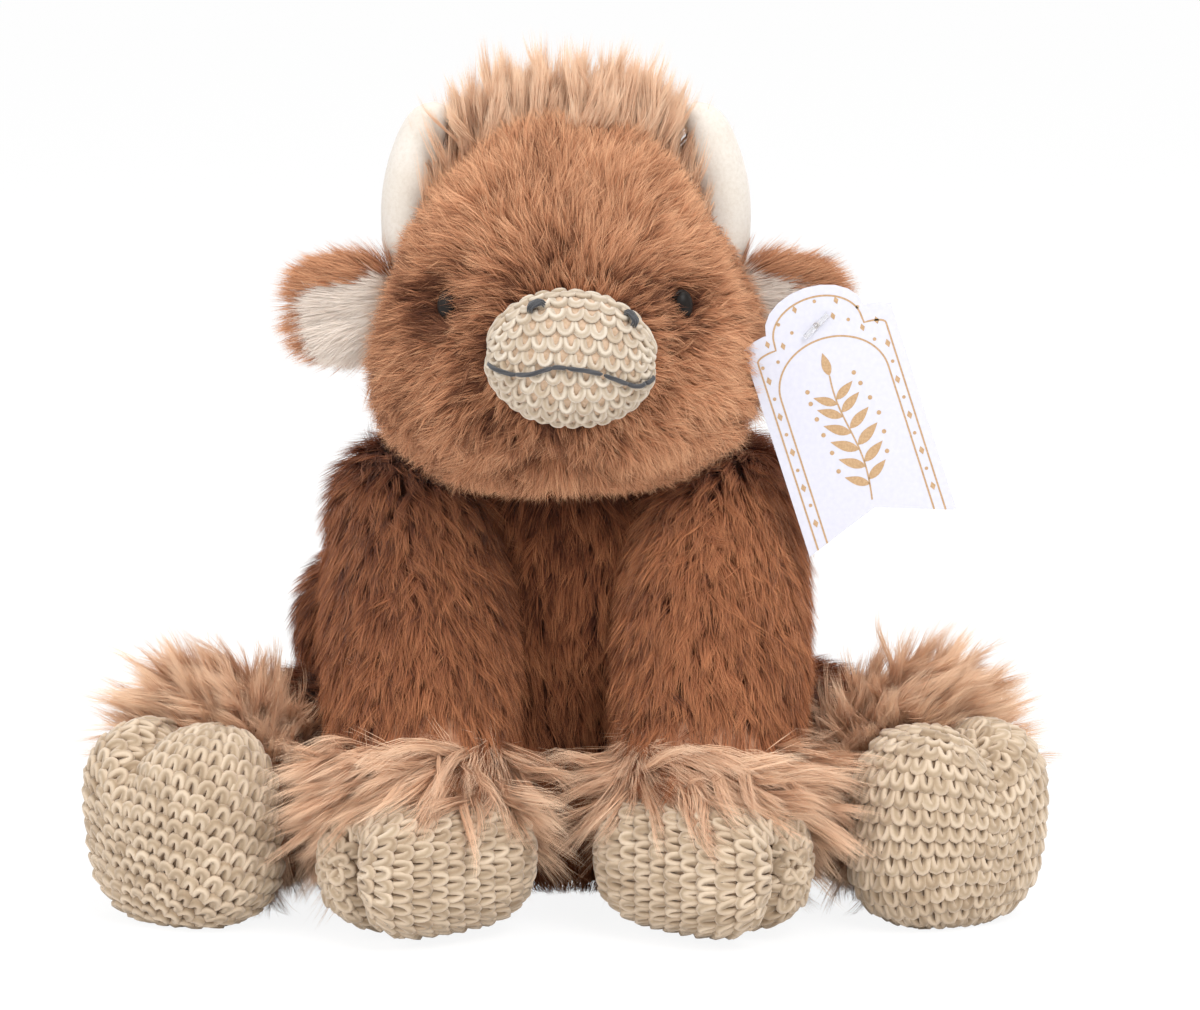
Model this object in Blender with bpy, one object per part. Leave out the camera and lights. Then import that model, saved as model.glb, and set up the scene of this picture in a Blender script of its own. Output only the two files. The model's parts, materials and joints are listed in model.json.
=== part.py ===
# Seated plush cow with a crocheted muzzle and crocheted booties.
# Metres, +Z up. The origin is the middle of the torso's flat underside.
# The cow faces -Y, so its own left side is at +X.

import math

import bmesh
import bpy
from mathutils import Matrix, Vector

SIDES = (("left", 1), ("right", -1))
ACROSS = Vector((1, 0, 0))
BACKWARD = Vector((0, 1, 0))
UPWARD = Vector((0, 0, 1))

# Fit between pieces
SEAT_GAP = 0.0003
FLOOR_PRESS = 0.0005
CUT_OVERRUN = 0.010

# Cloth walls
PLUSH_WALL = 0.0020
CROCHET_WALL = 0.0022
FELT_WALL = 0.0014

# Torso, a stuffed bag that swells at the belly and narrows to the neck
TORSO_HEIGHT = 0.132
TORSO_HALF_WIDTH = 0.075
TORSO_HALF_DEPTH = 0.043
# Each row is a height, a width, a depth and a lean forward
TORSO_SHARES = (
    (0.000, 0.00, 0.00, 0.00),
    (0.006, 0.66, 0.68, 0.00),
    (0.050, 0.86, 0.88, 0.00),
    (0.130, 0.96, 0.98, 0.00),
    (0.270, 1.00, 1.00, 0.00),
    (0.450, 0.97, 0.98, 0.02),
    (0.640, 0.86, 0.89, 0.08),
    (0.800, 0.72, 0.78, 0.20),
    (0.900, 0.58, 0.68, 0.31),
    (0.965, 0.43, 0.58, 0.39),
    (0.992, 0.30, 0.46, 0.42),
    (1.000, 0.00, 0.00, 0.42),
)
POUCH_HALF_WIDTH = 0.048
POUCH_HALF_DEPTH = 0.027
POUCH_HALF_HEIGHT = 0.009

# Neck wad, the ball of stuffing that the head turns and nods on
NECK_RADIUS = 0.019
NECK_RISE = 0.006
NECK_FORWARD_SHARE = 0.42
NECK_RECESS_RADIUS = 0.0305
NECK_RECESS_DROP = 0.001
NECK_NOD_ROOM = 0.0005
NECK_TURN = math.radians(20)
NECK_NOD = math.radians(8)

# Head, with a snout that swells at the front
HEAD_HEIGHT = 0.110
HEAD_HALF_WIDTH = 0.054
HEAD_HALF_DEPTH = 0.048
HEAD_DROP = 0.010
HEAD_FORWARD = 0.020
HEAD_SHARES = (
    (0.000, 0.00, 0.00, 0.04),
    (0.022, 0.50, 0.54, 0.04),
    (0.070, 0.74, 0.77, 0.06),
    (0.150, 0.90, 0.92, 0.09),
    (0.250, 0.985, 0.985, 0.10),
    (0.370, 1.00, 1.00, 0.09),
    (0.500, 0.955, 0.98, 0.04),
    (0.640, 0.86, 0.92, -0.02),
    (0.766, 0.715, 0.79, -0.08),
    (0.870, 0.555, 0.63, -0.13),
    (0.944, 0.37, 0.44, -0.16),
    (0.986, 0.18, 0.21, -0.17),
    (1.000, 0.00, 0.00, -0.17),
)
SNOUT_SWELL = 0.008
SNOUT_HEIGHT_SHARE = 0.37
SNOUT_SPREAD_SHARE = 0.28
SNOUT_ANGLE = math.radians(42)

# Crown, the bank of long hair behind the brow
CROWN_HALF_WIDTH = 0.036
CROWN_HALF_DEPTH = 0.014
CROWN_HALF_HEIGHT = 0.026
CROWN_RISE = 0.012
CROWN_BACK = 0.004

# Muzzle, a crocheted dome sewn a little off centre
MUZZLE_HALF_WIDTH = 0.0248
MUZZLE_HALF_HEIGHT = 0.0197
MUZZLE_DEPTH = 0.0160
MUZZLE_SIDE_OFFSET = 0.0018
MUZZLE_HEIGHT_SHARE = 0.39
MUZZLE_SINK = 0.0013
NOSTRIL_HALF_WIDTH = 0.0026
NOSTRIL_HALF_HEIGHT = 0.0014
NOSTRIL_HALF_DEPTH = 0.0012
# Across and up from the middle of the dome
NOSTRIL_SHARES = {"left": (0.66, 0.62), "right": (-0.44, 0.75)}
MOUTH_THREAD_RADIUS = 0.0008
MOUTH_SHARES = (
    (-0.93, -0.05),
    (-0.80, -0.11),
    (-0.63, -0.17),
    (-0.45, -0.15),
    (-0.30, -0.10),
    (-0.14, -0.07),
    (0.08, -0.10),
    (0.29, -0.14),
    (0.51, -0.23),
    (0.70, -0.31),
    (0.84, -0.30),
    (0.92, -0.27),
)

# Safety eyes, a dome on a shank that a washer holds from inside
EYE_RADIUS = 0.0048
EYE_DOME = 0.0036
EYE_SINK = 0.0005
EYE_OUT = 0.0357
EYE_HEIGHT_SHARE = 0.527
SHANK_RADIUS = 0.0015
SHANK_LENGTH = 0.0085
WASHER_RADIUS = 0.0060
WASHER_THICKNESS = 0.0012
WASHER_DEPTH = 0.0030

# Horns, stuffed felt tubes that bow outward and lean in at the tip
HORN_OUT = 0.0440
HORN_ROOT_SHARE = 0.53
HORN_LENGTH = 0.0545
HORN_RADIUS = 0.0086
HORN_BOW = 0.0040
HORN_LEAN = 0.0045
HORN_BACK = 0.008
HORN_SHARES = (
    (0.00, 0.00),
    (0.05, 0.80),
    (0.18, 1.00),
    (0.40, 0.99),
    (0.60, 0.94),
    (0.76, 0.87),
    (0.88, 0.74),
    (0.96, 0.46),
    (1.00, 0.00),
)

# Ears, flat pads of two cloths sewn together
EAR_LENGTH = 0.031
EAR_HALF_WIDTH = 0.0185
EAR_HALF_THICKNESS = 0.0045
EAR_HEIGHT_SHARE = 0.48
EAR_SINK = 0.0015
EAR_BACK = 0.006
EAR_DROOP = math.radians(10)
EAR_ROOT_OVERLAP = 0.010
EAR_SHARES = (
    (0.00, 0.00, 0.00),
    (0.06, 0.62, 0.80),
    (0.24, 0.80, 1.00),
    (0.46, 0.96, 1.00),
    (0.68, 1.00, 0.95),
    (0.86, 0.86, 0.80),
    (0.96, 0.52, 0.50),
    (1.00, 0.00, 0.00),
)
EAR_SWING = math.radians(12)

# Forelegs, which hang from the shoulders and end in booties on the floor
SHOULDER_OUT = 0.046
SHOULDER_DROP = 0.015
SHOULDER_FORWARD = 0.026
FORE_REACH = 0.067
FORE_SPREAD = 0.0405
FORE_RADIUS = 0.0250
# Along the leg from above the shoulder to inside the bootie
FORE_SHARES = (
    (-0.19, 0.00),
    (-0.175, 0.32),
    (-0.12, 0.67),
    (-0.04, 0.85),
    (0.08, 0.90),
    (0.25, 0.97),
    (0.42, 1.00),
    (0.60, 0.96),
    (0.76, 0.88),
    (0.90, 0.78),
    (0.94, 0.00),
)
FORE_RAISE = math.radians(35)

# Hind legs, which lie along the floor with their soles forward
HIP_OUT = 0.058
HIP_BACK = 0.006
HIP_HEIGHT = 0.040
HIND_REACH = 0.078
HIND_SPREAD = 0.113
HIND_RADIUS = 0.0260
HIND_SHARES = (
    (-0.27, 0.00),
    (-0.25, 0.40),
    (-0.16, 0.80),
    (-0.02, 1.00),
    (0.20, 1.03),
    (0.42, 1.02),
    (0.62, 0.97),
    (0.80, 0.90),
    (0.94, 0.80),
    (0.98, 0.00),
)
HIND_SPLAY = math.radians(25)

# Booties, each with a cleft toe, a heel, a width and a depth along the leg
FORE_TOE = 0.033
FORE_WIDTH = 0.027
FORE_DEPTH = 0.0235
FORE_TOE_TURN = math.radians(52)
HIND_TOE = 0.0308
HIND_WIDTH = 0.0295
HIND_DEPTH = 0.0220
BOOTIE_SHARES = (-1.0, -0.95, -0.78, -0.48, -0.12, 0.22, 0.52, 0.78, 0.95, 1.0)
BOOTIE_SQUARENESS = 2.5
CLEFT_DEPTH_SHARE = 0.20
CLEFT_WIDTH_SHARE = 0.26
CLEFT_START_SHARE = 0.25
MOUTH_RADIUS_SHARE = 0.62

# Fur cuffs sewn round the tops of the booties
FORE_CUFF_WIDTH = 0.0325
FORE_CUFF_HEIGHT = 0.0340
FORE_CUFF_OUT = 0.000
FORE_CUFF_LIFT = 0.002
FORE_CUFF_START_SHARE = 0.62
FORE_CUFF_END_SHARE = 0.90
HIND_CUFF_WIDTH = 0.0370
HIND_CUFF_HEIGHT = 0.0410
HIND_CUFF_OUT = 0.009
HIND_CUFF_LIFT = 0.007
HIND_CUFF_START_SHARE = 0.52
HIND_CUFF_END_SHARE = 0.86
# Each row is a place along the cuff and how far it stands out
CUFF_SHARES = (
    (0.00, 0.30),
    (0.25, 0.86),
    (0.60, 1.00),
    (1.00, 0.62),
)

# Tail, a short stuffed cord of plush with a long-haired tuft
TAIL_HEIGHT = 0.046
TAIL_REACH = 0.010
TAIL_FALL = 0.026
TAIL_RADIUS = 0.0050
TAIL_SHARES = (
    (0.00, 0.00),
    (0.06, 0.82),
    (0.30, 1.00),
    (0.65, 0.92),
    (0.95, 0.80),
    (1.00, 0.00),
)
TUFT_LENGTH = 0.016
TUFT_RADIUS = 0.0078
TUFT_SHARES = (
    (0.00, 0.00),
    (0.05, 0.50),
    (0.30, 0.95),
    (0.55, 1.00),
    (0.82, 0.70),
    (1.00, 0.00),
)
TAIL_LIFT = math.radians(50)

# Hang tag, a card with an arched top and a notched foot, on a plastic pin
TAG_HALF_WIDTH = 0.0228
TAG_THICKNESS = 0.0010
TAG_ARCH_HALF_WIDTH = 0.0151
TAG_ARCH_RISE = 0.0100
TAG_SHOULDER_DROP = 0.0020
TAG_SIDE_LENGTH = 0.0646
TAG_NOTCH = 0.0082
TAG_TILT = math.radians(18)
TAG_HOLE_DROP = 0.0016
TAG_FORWARD = 0.0270
PIN_OUT_SHARE = 0.77
PIN_RADIUS = 0.0007
PIN_BAR_RADIUS = 0.0008
PIN_BAR_HALF_LENGTH = 0.0048

# Facets round each kind of form
TORSO_FACETS = 28
HEAD_FACETS = 28
CORE_FACETS = 16
LIMB_FACETS = 16
LIMB_CORE_FACETS = 10
DOME_FACETS = 20
SMALL_FACETS = 12
THREAD_FACETS = 6
SWING_STEP = math.radians(12)

# Places that follow from the sizes above
NECK = Vector((0, -TORSO_HALF_DEPTH * NECK_FORWARD_SHARE, TORSO_HEIGHT + NECK_RISE))
HEAD_BASE = NECK + Vector((0, -HEAD_FORWARD, -HEAD_DROP))


def clear_scene():
    for item in list(bpy.data.objects):
        bpy.data.objects.remove(item, do_unlink=True)


def finish(name, colour, roughness, metallic=0.0):
    material = bpy.data.materials.new(name)
    material.use_nodes = True
    shader = material.node_tree.nodes["Principled BSDF"]
    shader.inputs["Base Color"].default_value = (*colour, 1)
    shader.inputs["Roughness"].default_value = roughness
    shader.inputs["Metallic"].default_value = metallic
    material.diffuse_color = (*colour, 1)
    return material


# Linear colours of the cloths, threads and card
COLOURS = {
    "short_plush": ((0.352, 0.127, 0.054), 0.95),
    "dark_plush": ((0.188, 0.053, 0.019), 0.95),
    "long_fur": ((0.578, 0.305, 0.171), 0.9),
    "white_plush": ((0.830, 0.752, 0.679), 0.95),
    "felt": ((0.807, 0.716, 0.597), 0.9),
    "crochet": ((0.578, 0.479, 0.328), 0.9),
    "pale_crochet": ((0.760, 0.672, 0.515), 0.9),
    "thread": ((0.070, 0.070, 0.078), 0.8),
    "stuffing": ((0.86, 0.86, 0.84), 1.0),
    "pellet_bag": ((0.70, 0.70, 0.68), 0.8),
    "eye_plastic": ((0.008, 0.007, 0.006), 0.15),
    "washer_plastic": ((0.75, 0.75, 0.74), 0.5),
    "card": ((0.91, 0.90, 0.91), 0.6),
    "clear_plastic": ((0.85, 0.86, 0.87), 0.2),
}


def ring(centre, across, along, half_across, half_along, facets):
    points = []
    for step in range(facets):
        angle = 2 * math.pi * step / facets
        offset = across * (half_across * math.cos(angle)) + along * (half_along * math.sin(angle))
        points.append(centre + offset)
    return points


def skin_over(sections, closed=False):
    """A bmesh whose faces join each section to the next; a section of one point is a pole."""
    mesh = bmesh.new()
    loops = [[mesh.verts.new(point) for point in section] for section in sections]
    pairs = list(zip(loops, loops[1:]))
    if closed:
        pairs.append((loops[-1], loops[0]))
    for lower, upper in pairs:
        count = max(len(lower), len(upper))
        for step in range(count):
            after = (step + 1) % count
            if len(lower) == 1:
                mesh.faces.new((lower[0], upper[after], upper[step]))
            elif len(upper) == 1:
                mesh.faces.new((lower[step], lower[after], upper[0]))
            else:
                mesh.faces.new((lower[step], lower[after], upper[after]))
                mesh.faces.new((lower[step], upper[after], upper[step]))
    if not closed:
        for loop in (loops[0], loops[-1]):
            if len(loop) > 2:
                mesh.faces.new(loop)
    bmesh.ops.recalc_face_normals(mesh, faces=mesh.faces)
    return mesh


def grown(sections, distance):
    """The same sections moved along the surface's normals."""
    mesh = skin_over(sections)
    mesh.normal_update()
    mesh.verts.ensure_lookup_table()
    moved = []
    index = 0
    for section in sections:
        row = []
        for point in section:
            row.append(point + mesh.verts[index].normal * distance)
            index += 1
        moved.append(row)
    mesh.free()
    return moved


def joint_empty(name, place):
    empty = bpy.data.objects.new(name, None)
    empty.location = place
    bpy.context.scene.collection.objects.link(empty)
    return empty


def piece_from(name, mesh, joint, slot):
    """Puts a bmesh given in world coordinates under its joint's empty."""
    bmesh.ops.translate(mesh, verts=mesh.verts, vec=-joint.location)
    data = bpy.data.meshes.new(name)
    mesh.to_mesh(data)
    mesh.free()
    data.shade_smooth()
    data.set_sharp_from_angle(angle=math.radians(50))
    item = bpy.data.objects.new(name, data)
    item.parent = joint
    colour, roughness = COLOURS[slot]
    data.materials.append(finish(name, colour, roughness))
    bpy.context.scene.collection.objects.link(item)
    return item


def piece(name, sections, joint, slot, closed=False):
    return piece_from(name, skin_over(sections, closed), joint, slot)


def cutter_from(name, mesh):
    data = bpy.data.meshes.new(name)
    mesh.to_mesh(data)
    mesh.free()
    item = bpy.data.objects.new(name, data)
    item.hide_render = True
    item.display_type = "WIRE"
    bpy.context.scene.collection.objects.link(item)
    return item


def cutter(name, sections):
    return cutter_from(name, skin_over(sections))


def cut(item, *tools):
    for tool in tools:
        boolean = item.modifiers.new("cut_by_" + tool.name, "BOOLEAN")
        boolean.operation = "DIFFERENCE"
        boolean.solver = "EXACT"
        boolean.object = tool


def join(item, *tools):
    for tool in tools:
        boolean = item.modifiers.new("join_" + tool.name, "BOOLEAN")
        boolean.operation = "UNION"
        boolean.solver = "EXACT"
        boolean.object = tool


def turned(name, source, pivot, rotation):
    """A copy of a cutter, turned about a pivot."""
    copy = bpy.data.objects.new(name, source.data)
    copy.matrix_world = Matrix.Translation(pivot) @ rotation @ Matrix.Translation(-pivot)
    copy.hide_render = True
    copy.display_type = "WIRE"
    bpy.context.scene.collection.objects.link(copy)
    return copy


def swung(name, source, pivot, axis, angles):
    """Copies of a cutter as the moving piece sees it through the joint's range."""
    copies = []
    for step, angle in enumerate(angles):
        copies.append(turned(name + "_" + str(step), source, pivot, Matrix.Rotation(-angle, 4, axis)))
    return copies


def angle_steps(low, high):
    """Angles from low to high with at least one between, about a swing step apart."""
    count = max(2, round((high - low) / SWING_STEP))
    return [low + (high - low) * step / count for step in range(count + 1)]


def thinned(shares):
    """The ends and every other row between, for the plainer hollow and its stuffing."""
    return (shares[0],) + tuple(shares[1:-1:2]) + (shares[-1],)


def rows_at(shares, share):
    """The row of a share table at one place along it."""
    for low, high in zip(shares, shares[1:]):
        if share <= high[0]:
            part = (share - low[0]) / (high[0] - low[0])
            return [a + (b - a) * part for a, b in zip(low, high)]
    return list(shares[-1])


# Trunk forms: torso and head


def trunk_sections(base, height, half_width, half_depth, shares, facets, swell=None):
    sections = []
    for up, wide, deep, forward in shares:
        centre = base + Vector((0, -half_depth * forward, height * up))
        if wide == 0:
            sections.append([centre])
            continue
        row = ring(centre, ACROSS, BACKWARD, half_width * wide, half_depth * deep, facets)
        if swell:
            for step, point in enumerate(row):
                angle = 2 * math.pi * step / facets
                point.y += swell(angle, up) * math.sin(angle)
        sections.append(row)
    return sections


def torso_sections(shares=TORSO_SHARES, facets=TORSO_FACETS):
    base = Vector((0, 0, -FLOOR_PRESS))
    return trunk_sections(base, TORSO_HEIGHT, TORSO_HALF_WIDTH, TORSO_HALF_DEPTH, shares, facets)


def snout_swell(angle, up):
    """How far the snout stands out at an angle round the head and a share of its height."""
    turn = math.atan2(math.sin(angle + math.pi / 2), math.cos(angle + math.pi / 2))
    rise = (up - SNOUT_HEIGHT_SHARE) / SNOUT_SPREAD_SHARE
    return SNOUT_SWELL * math.exp(-(turn / SNOUT_ANGLE) ** 2) * math.exp(-rise * rise)


def head_sections(shares=HEAD_SHARES, facets=HEAD_FACETS):
    return trunk_sections(
        HEAD_BASE, HEAD_HEIGHT, HEAD_HALF_WIDTH, HEAD_HALF_DEPTH, shares, facets, snout_swell)


def face_point(out, up):
    """The point of the head's front at a distance from the middle and a share of its height."""
    wide, deep, forward = rows_at(HEAD_SHARES, up)[1:]
    angle = -math.acos(out / (HEAD_HALF_WIDTH * wide))
    depth = HEAD_HALF_DEPTH * deep + snout_swell(angle, up)
    y = HEAD_BASE.y - HEAD_HALF_DEPTH * forward + depth * math.sin(angle)
    return Vector((out, y, HEAD_BASE.z + HEAD_HEIGHT * up))


def face_normal(out, up):
    here = face_point(out, up)
    sideways = face_point(out + EYE_SINK, up) - here
    higher = face_point(out, up + EYE_SINK / HEAD_HEIGHT) - here
    return sideways.cross(higher).normalized()


# Egg forms: pouch, neck wad, crown and muzzle


def egg_sections(centre, half_width, half_depth, half_height, facets, rows):
    sections = []
    for row in range(rows + 1):
        angle = math.pi * (row / rows - 0.5)
        middle = centre + UPWARD * (half_height * math.sin(angle))
        if row in (0, rows):
            sections.append([middle])
            continue
        shrink = math.cos(angle)
        sections.append(
            ring(middle, ACROSS, BACKWARD, half_width * shrink, half_depth * shrink, facets))
    return sections


# Limb forms: legs, tail, horns and ears


def limb_frame(start, end):
    """Unit vectors along a limb, across it and out of that plane."""
    along = (end - start).normalized()
    across = UPWARD.cross(along)
    if across.length < SEAT_GAP:
        across = ACROSS.copy()
    across.normalize()
    return along, across, along.cross(across)


def limb_sections(start, end, radius, shares, facets):
    along, across, over = limb_frame(start, end)
    length = (end - start).length
    sections = []
    for share, swell in shares:
        centre = start + along * (length * share)
        if swell == 0:
            sections.append([centre])
        else:
            sections.append(ring(centre, across, over, radius * swell, radius * swell, facets))
    return sections


def horn_sections(root, side, shares, facets):
    """A tube whose middle line bows outward and leans in at the tip."""
    sections = []
    for share, swell in shares:
        bow = HORN_BOW * math.sin(math.pi * share) - HORN_LEAN * share * share
        centre = root + ACROSS * (side * bow) + UPWARD * (HORN_LENGTH * share)
        if swell == 0:
            sections.append([centre])
        else:
            size = HORN_RADIUS * swell
            sections.append(ring(centre, ACROSS, BACKWARD, size, size, facets))
    return sections


def block(centre, axes, halves):
    """A box on its own axes, as sections of four points."""
    first, second, third = axes
    sections = []
    for end in (-1, 1):
        middle = centre + third * (halves[2] * end)
        corners = []
        for a, b in ((-1, -1), (1, -1), (1, 1), (-1, 1)):
            corners.append(middle + first * (halves[0] * a) + second * (halves[1] * b))
        sections.append(corners)
    return sections


def bootie_sections(centre, toe, across, half_toe, half_width, half_depth, facets, cleft=True):
    """An egg round its toe line, with a cleft over the toe."""
    over = toe.cross(across)
    sections = []
    for share in BOOTIE_SHARES:
        shrink = (1 - abs(share) ** BOOTIE_SQUARENESS) ** (1 / BOOTIE_SQUARENESS)
        if shrink == 0:
            row = [toe * (half_toe * share)]
        else:
            middle = toe * (half_toe * share)
            row = ring(middle, across, over, half_width * shrink, half_depth * shrink, facets)
        if cleft and share > CLEFT_START_SHARE:
            ramp = (share - CLEFT_START_SHARE) / (1 - CLEFT_START_SHARE)
            for step, point in enumerate(row):
                offset = point.dot(across) / (half_width * CLEFT_WIDTH_SHARE)
                groove = CLEFT_DEPTH_SHARE * ramp * math.exp(-offset * offset)
                row[step] = point * (1 - groove)
        sections.append([centre + point for point in row])
    return sections


# Torso pieces


def make_torso(joint, floor, ball):
    form = torso_sections()
    core = torso_sections(thinned(TORSO_SHARES), CORE_FACETS)
    hollow = cutter("torso_hollow", grown(core, -PLUSH_WALL))
    skin = piece("torso_skin", form, joint, "dark_plush")
    cut(skin, ball, hollow, floor)

    pouch_centre = UPWARD * (PLUSH_WALL + SEAT_GAP - FLOOR_PRESS + POUCH_HALF_HEIGHT)
    pouch_form = egg_sections(
        pouch_centre, POUCH_HALF_WIDTH, POUCH_HALF_DEPTH, POUCH_HALF_HEIGHT, CORE_FACETS, 6)
    piece("pellet_pouch", pouch_form, joint, "pellet_bag")
    pouch_space = cutter("pouch_space", grown(pouch_form, SEAT_GAP))
    filling = piece("torso_filling", grown(core, -PLUSH_WALL - SEAT_GAP), joint, "stuffing")
    cut(filling, ball, pouch_space)


# Head pieces


def make_eye(name, side, joint):
    """A domed eye with its shank and washer; gives back what they cut."""
    seat = face_point(EYE_OUT, EYE_HEIGHT_SHARE)
    normal = face_normal(EYE_OUT, EYE_HEIGHT_SHARE)
    seat.x *= side
    normal.x *= side
    base = seat - normal * EYE_SINK
    across = UPWARD.cross(normal).normalized()
    over = normal.cross(across)

    def eye_sections(extra):
        rows = [[base + normal * (EYE_DOME + extra)]]
        for step in (1, 2, 3):
            angle = step * math.pi / 6
            size = (EYE_RADIUS + extra) * math.sin(angle)
            middle = base + normal * ((EYE_DOME + extra) * math.cos(angle))
            rows.append(ring(middle, across, over, size, size, SMALL_FACETS))
        under = base - normal * extra
        rim = EYE_RADIUS + extra
        if extra:
            rows.append(ring(under, across, over, rim, rim, SMALL_FACETS))
        shank = SHANK_RADIUS + extra
        rows.append(ring(under, across, over, shank, shank, SMALL_FACETS))
        end = base - normal * (SHANK_LENGTH + extra)
        rows.append(ring(end, across, over, shank, shank, SMALL_FACETS))
        return rows

    piece("eye_" + name, eye_sections(0), joint, "eye_plastic")
    eye_space = cutter("eye_space_" + name, eye_sections(SEAT_GAP))

    near = base - normal * WASHER_DEPTH
    far = near - normal * WASHER_THICKNESS
    bore = SHANK_RADIUS + SEAT_GAP
    rows = []
    for middle, size in ((near, bore), (near, WASHER_RADIUS), (far, WASHER_RADIUS), (far, bore)):
        rows.append(ring(middle, across, over, size, size, SMALL_FACETS))
    piece("eye_washer_" + name, rows, joint, "washer_plastic", closed=True)
    size = WASHER_RADIUS + SEAT_GAP
    washer_space = cutter("washer_space_" + name, [
        ring(near + normal * SEAT_GAP, across, over, size, size, SMALL_FACETS),
        ring(far - normal * SEAT_GAP, across, over, size, size, SMALL_FACETS),
    ])
    return eye_space, washer_space


def make_horn(name, side, joint, head_space):
    root = Vector((side * HORN_OUT, HEAD_BASE.y + HORN_BACK, HEAD_BASE.z + HEAD_HEIGHT * HORN_ROOT_SHARE))
    form = horn_sections(root, side, HORN_SHARES, SMALL_FACETS)
    core = horn_sections(root, side, thinned(HORN_SHARES), LIMB_CORE_FACETS)
    cover = piece("horn_" + name, form, joint, "felt")
    hollow = cutter("horn_hollow_" + name, grown(core, -FELT_WALL))
    cut(cover, head_space, hollow)
    filling = piece("horn_filling_" + name, grown(core, -FELT_WALL - SEAT_GAP), joint, "stuffing")
    cut(filling, head_space)
    return cutter("horn_space_" + name, grown(form, SEAT_GAP))


def muzzle_middle():
    front = face_point(0, MUZZLE_HEIGHT_SHARE)
    return front + ACROSS * MUZZLE_SIDE_OFFSET + BACKWARD * MUZZLE_SINK


def muzzle_point(across, up, lift):
    """A point over the muzzle's dome, at shares of its half width and half height."""
    forward = math.sqrt(1 - across * across - up * up)
    place = Vector((across * MUZZLE_HALF_WIDTH, -forward * MUZZLE_DEPTH, up * MUZZLE_HALF_HEIGHT))
    normal = Vector((
        across / MUZZLE_HALF_WIDTH, -forward / MUZZLE_DEPTH, up / MUZZLE_HALF_HEIGHT)).normalized()
    return muzzle_middle() + place + normal * lift, normal


def make_muzzle(joint, head_space):
    middle = muzzle_middle()
    form = egg_sections(
        middle, MUZZLE_HALF_WIDTH, MUZZLE_DEPTH, MUZZLE_HALF_HEIGHT, DOME_FACETS, 8)
    core = egg_sections(
        middle, MUZZLE_HALF_WIDTH, MUZZLE_DEPTH, MUZZLE_HALF_HEIGHT, SMALL_FACETS, 6)
    cover = piece("muzzle_cover", form, joint, "pale_crochet")
    hollow = cutter("muzzle_hollow", grown(core, -CROCHET_WALL))
    cut(cover, head_space, hollow)
    filling = piece("muzzle_filling", grown(core, -CROCHET_WALL - SEAT_GAP), joint, "stuffing")
    cut(filling, head_space)
    muzzle_space = cutter("muzzle_space", grown(form, SEAT_GAP))

    for name, (across, up) in NOSTRIL_SHARES.items():
        place, normal = muzzle_point(across, up, 0)
        wide = UPWARD.cross(normal).normalized()
        tall = normal.cross(wide)
        rows = []
        for share in (-1, -0.7, 0, 0.7, 1):
            shrink = math.sqrt(1 - share * share)
            centre = place + wide * (NOSTRIL_HALF_WIDTH * share)
            if shrink == 0:
                rows.append([centre])
                continue
            high = NOSTRIL_HALF_HEIGHT * shrink
            deep = NOSTRIL_HALF_DEPTH * shrink
            rows.append(ring(centre, tall, normal, high, deep, SMALL_FACETS))
        nostril = piece("nostril_" + name, rows, joint, "thread")
        cut(nostril, muzzle_space)

    points = []
    for across, up in MOUTH_SHARES:
        points.append(muzzle_point(across, up, MOUTH_THREAD_RADIUS + SEAT_GAP + SEAT_GAP))
    rows = []
    for step, (point, normal) in enumerate(points):
        before = points[max(0, step - 1)][0]
        after = points[min(len(points) - 1, step + 1)][0]
        along = (after - before).normalized()
        over = along.cross(normal).normalized()
        rows.append(ring(point, over, normal, MOUTH_THREAD_RADIUS, MOUTH_THREAD_RADIUS, THREAD_FACETS))
    piece("mouth_thread", rows, joint, "thread")


def make_head(joint, socket, recess):
    form = head_sections()
    core = head_sections(thinned(HEAD_SHARES), CORE_FACETS)
    head_space = cutter("head_space", grown(form, SEAT_GAP))
    hollow = cutter("head_hollow", grown(core, -PLUSH_WALL))
    skin = piece("head_skin", form, joint, "short_plush")
    filling = piece("head_filling", grown(core, -PLUSH_WALL - SEAT_GAP), joint, "stuffing")
    cut(skin, hollow, recess, socket)
    cut(filling, recess, socket)
    for name, side in SIDES:
        eye_space, washer_space = make_eye(name, side, joint)
        cut(skin, eye_space, washer_space)
        cut(filling, eye_space, washer_space)

    crown_centre = HEAD_BASE + Vector((0, CROWN_BACK, HEAD_HEIGHT - CROWN_HALF_HEIGHT + CROWN_RISE))
    crown_form = egg_sections(
        crown_centre, CROWN_HALF_WIDTH, CROWN_HALF_DEPTH, CROWN_HALF_HEIGHT, CORE_FACETS, 8)
    crown = piece("crown_tuft", crown_form, joint, "long_fur")
    cut(crown, head_space)
    horn_spaces = {}
    for name, side in SIDES:
        horn_spaces[name] = make_horn(name, side, joint, head_space)
        cut(crown, horn_spaces[name])
    make_muzzle(joint, head_space)
    return head_space, horn_spaces


def ear_root(side):
    wide, deep, forward = rows_at(HEAD_SHARES, EAR_HEIGHT_SHARE)[1:]
    out = HEAD_HALF_WIDTH * wide - EAR_SINK
    y = HEAD_BASE.y - HEAD_HALF_DEPTH * forward + EAR_BACK
    return Vector((side * out, y, HEAD_BASE.z + HEAD_HEIGHT * EAR_HEIGHT_SHARE))


def ear_axes(side):
    """Along the ear, up its width and forward through its thickness."""
    along = Vector((side * math.cos(EAR_DROOP), 0, -math.sin(EAR_DROOP)))
    wide = Vector((side * math.sin(EAR_DROOP), 0, math.cos(EAR_DROOP)))
    return along, wide, -BACKWARD


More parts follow.
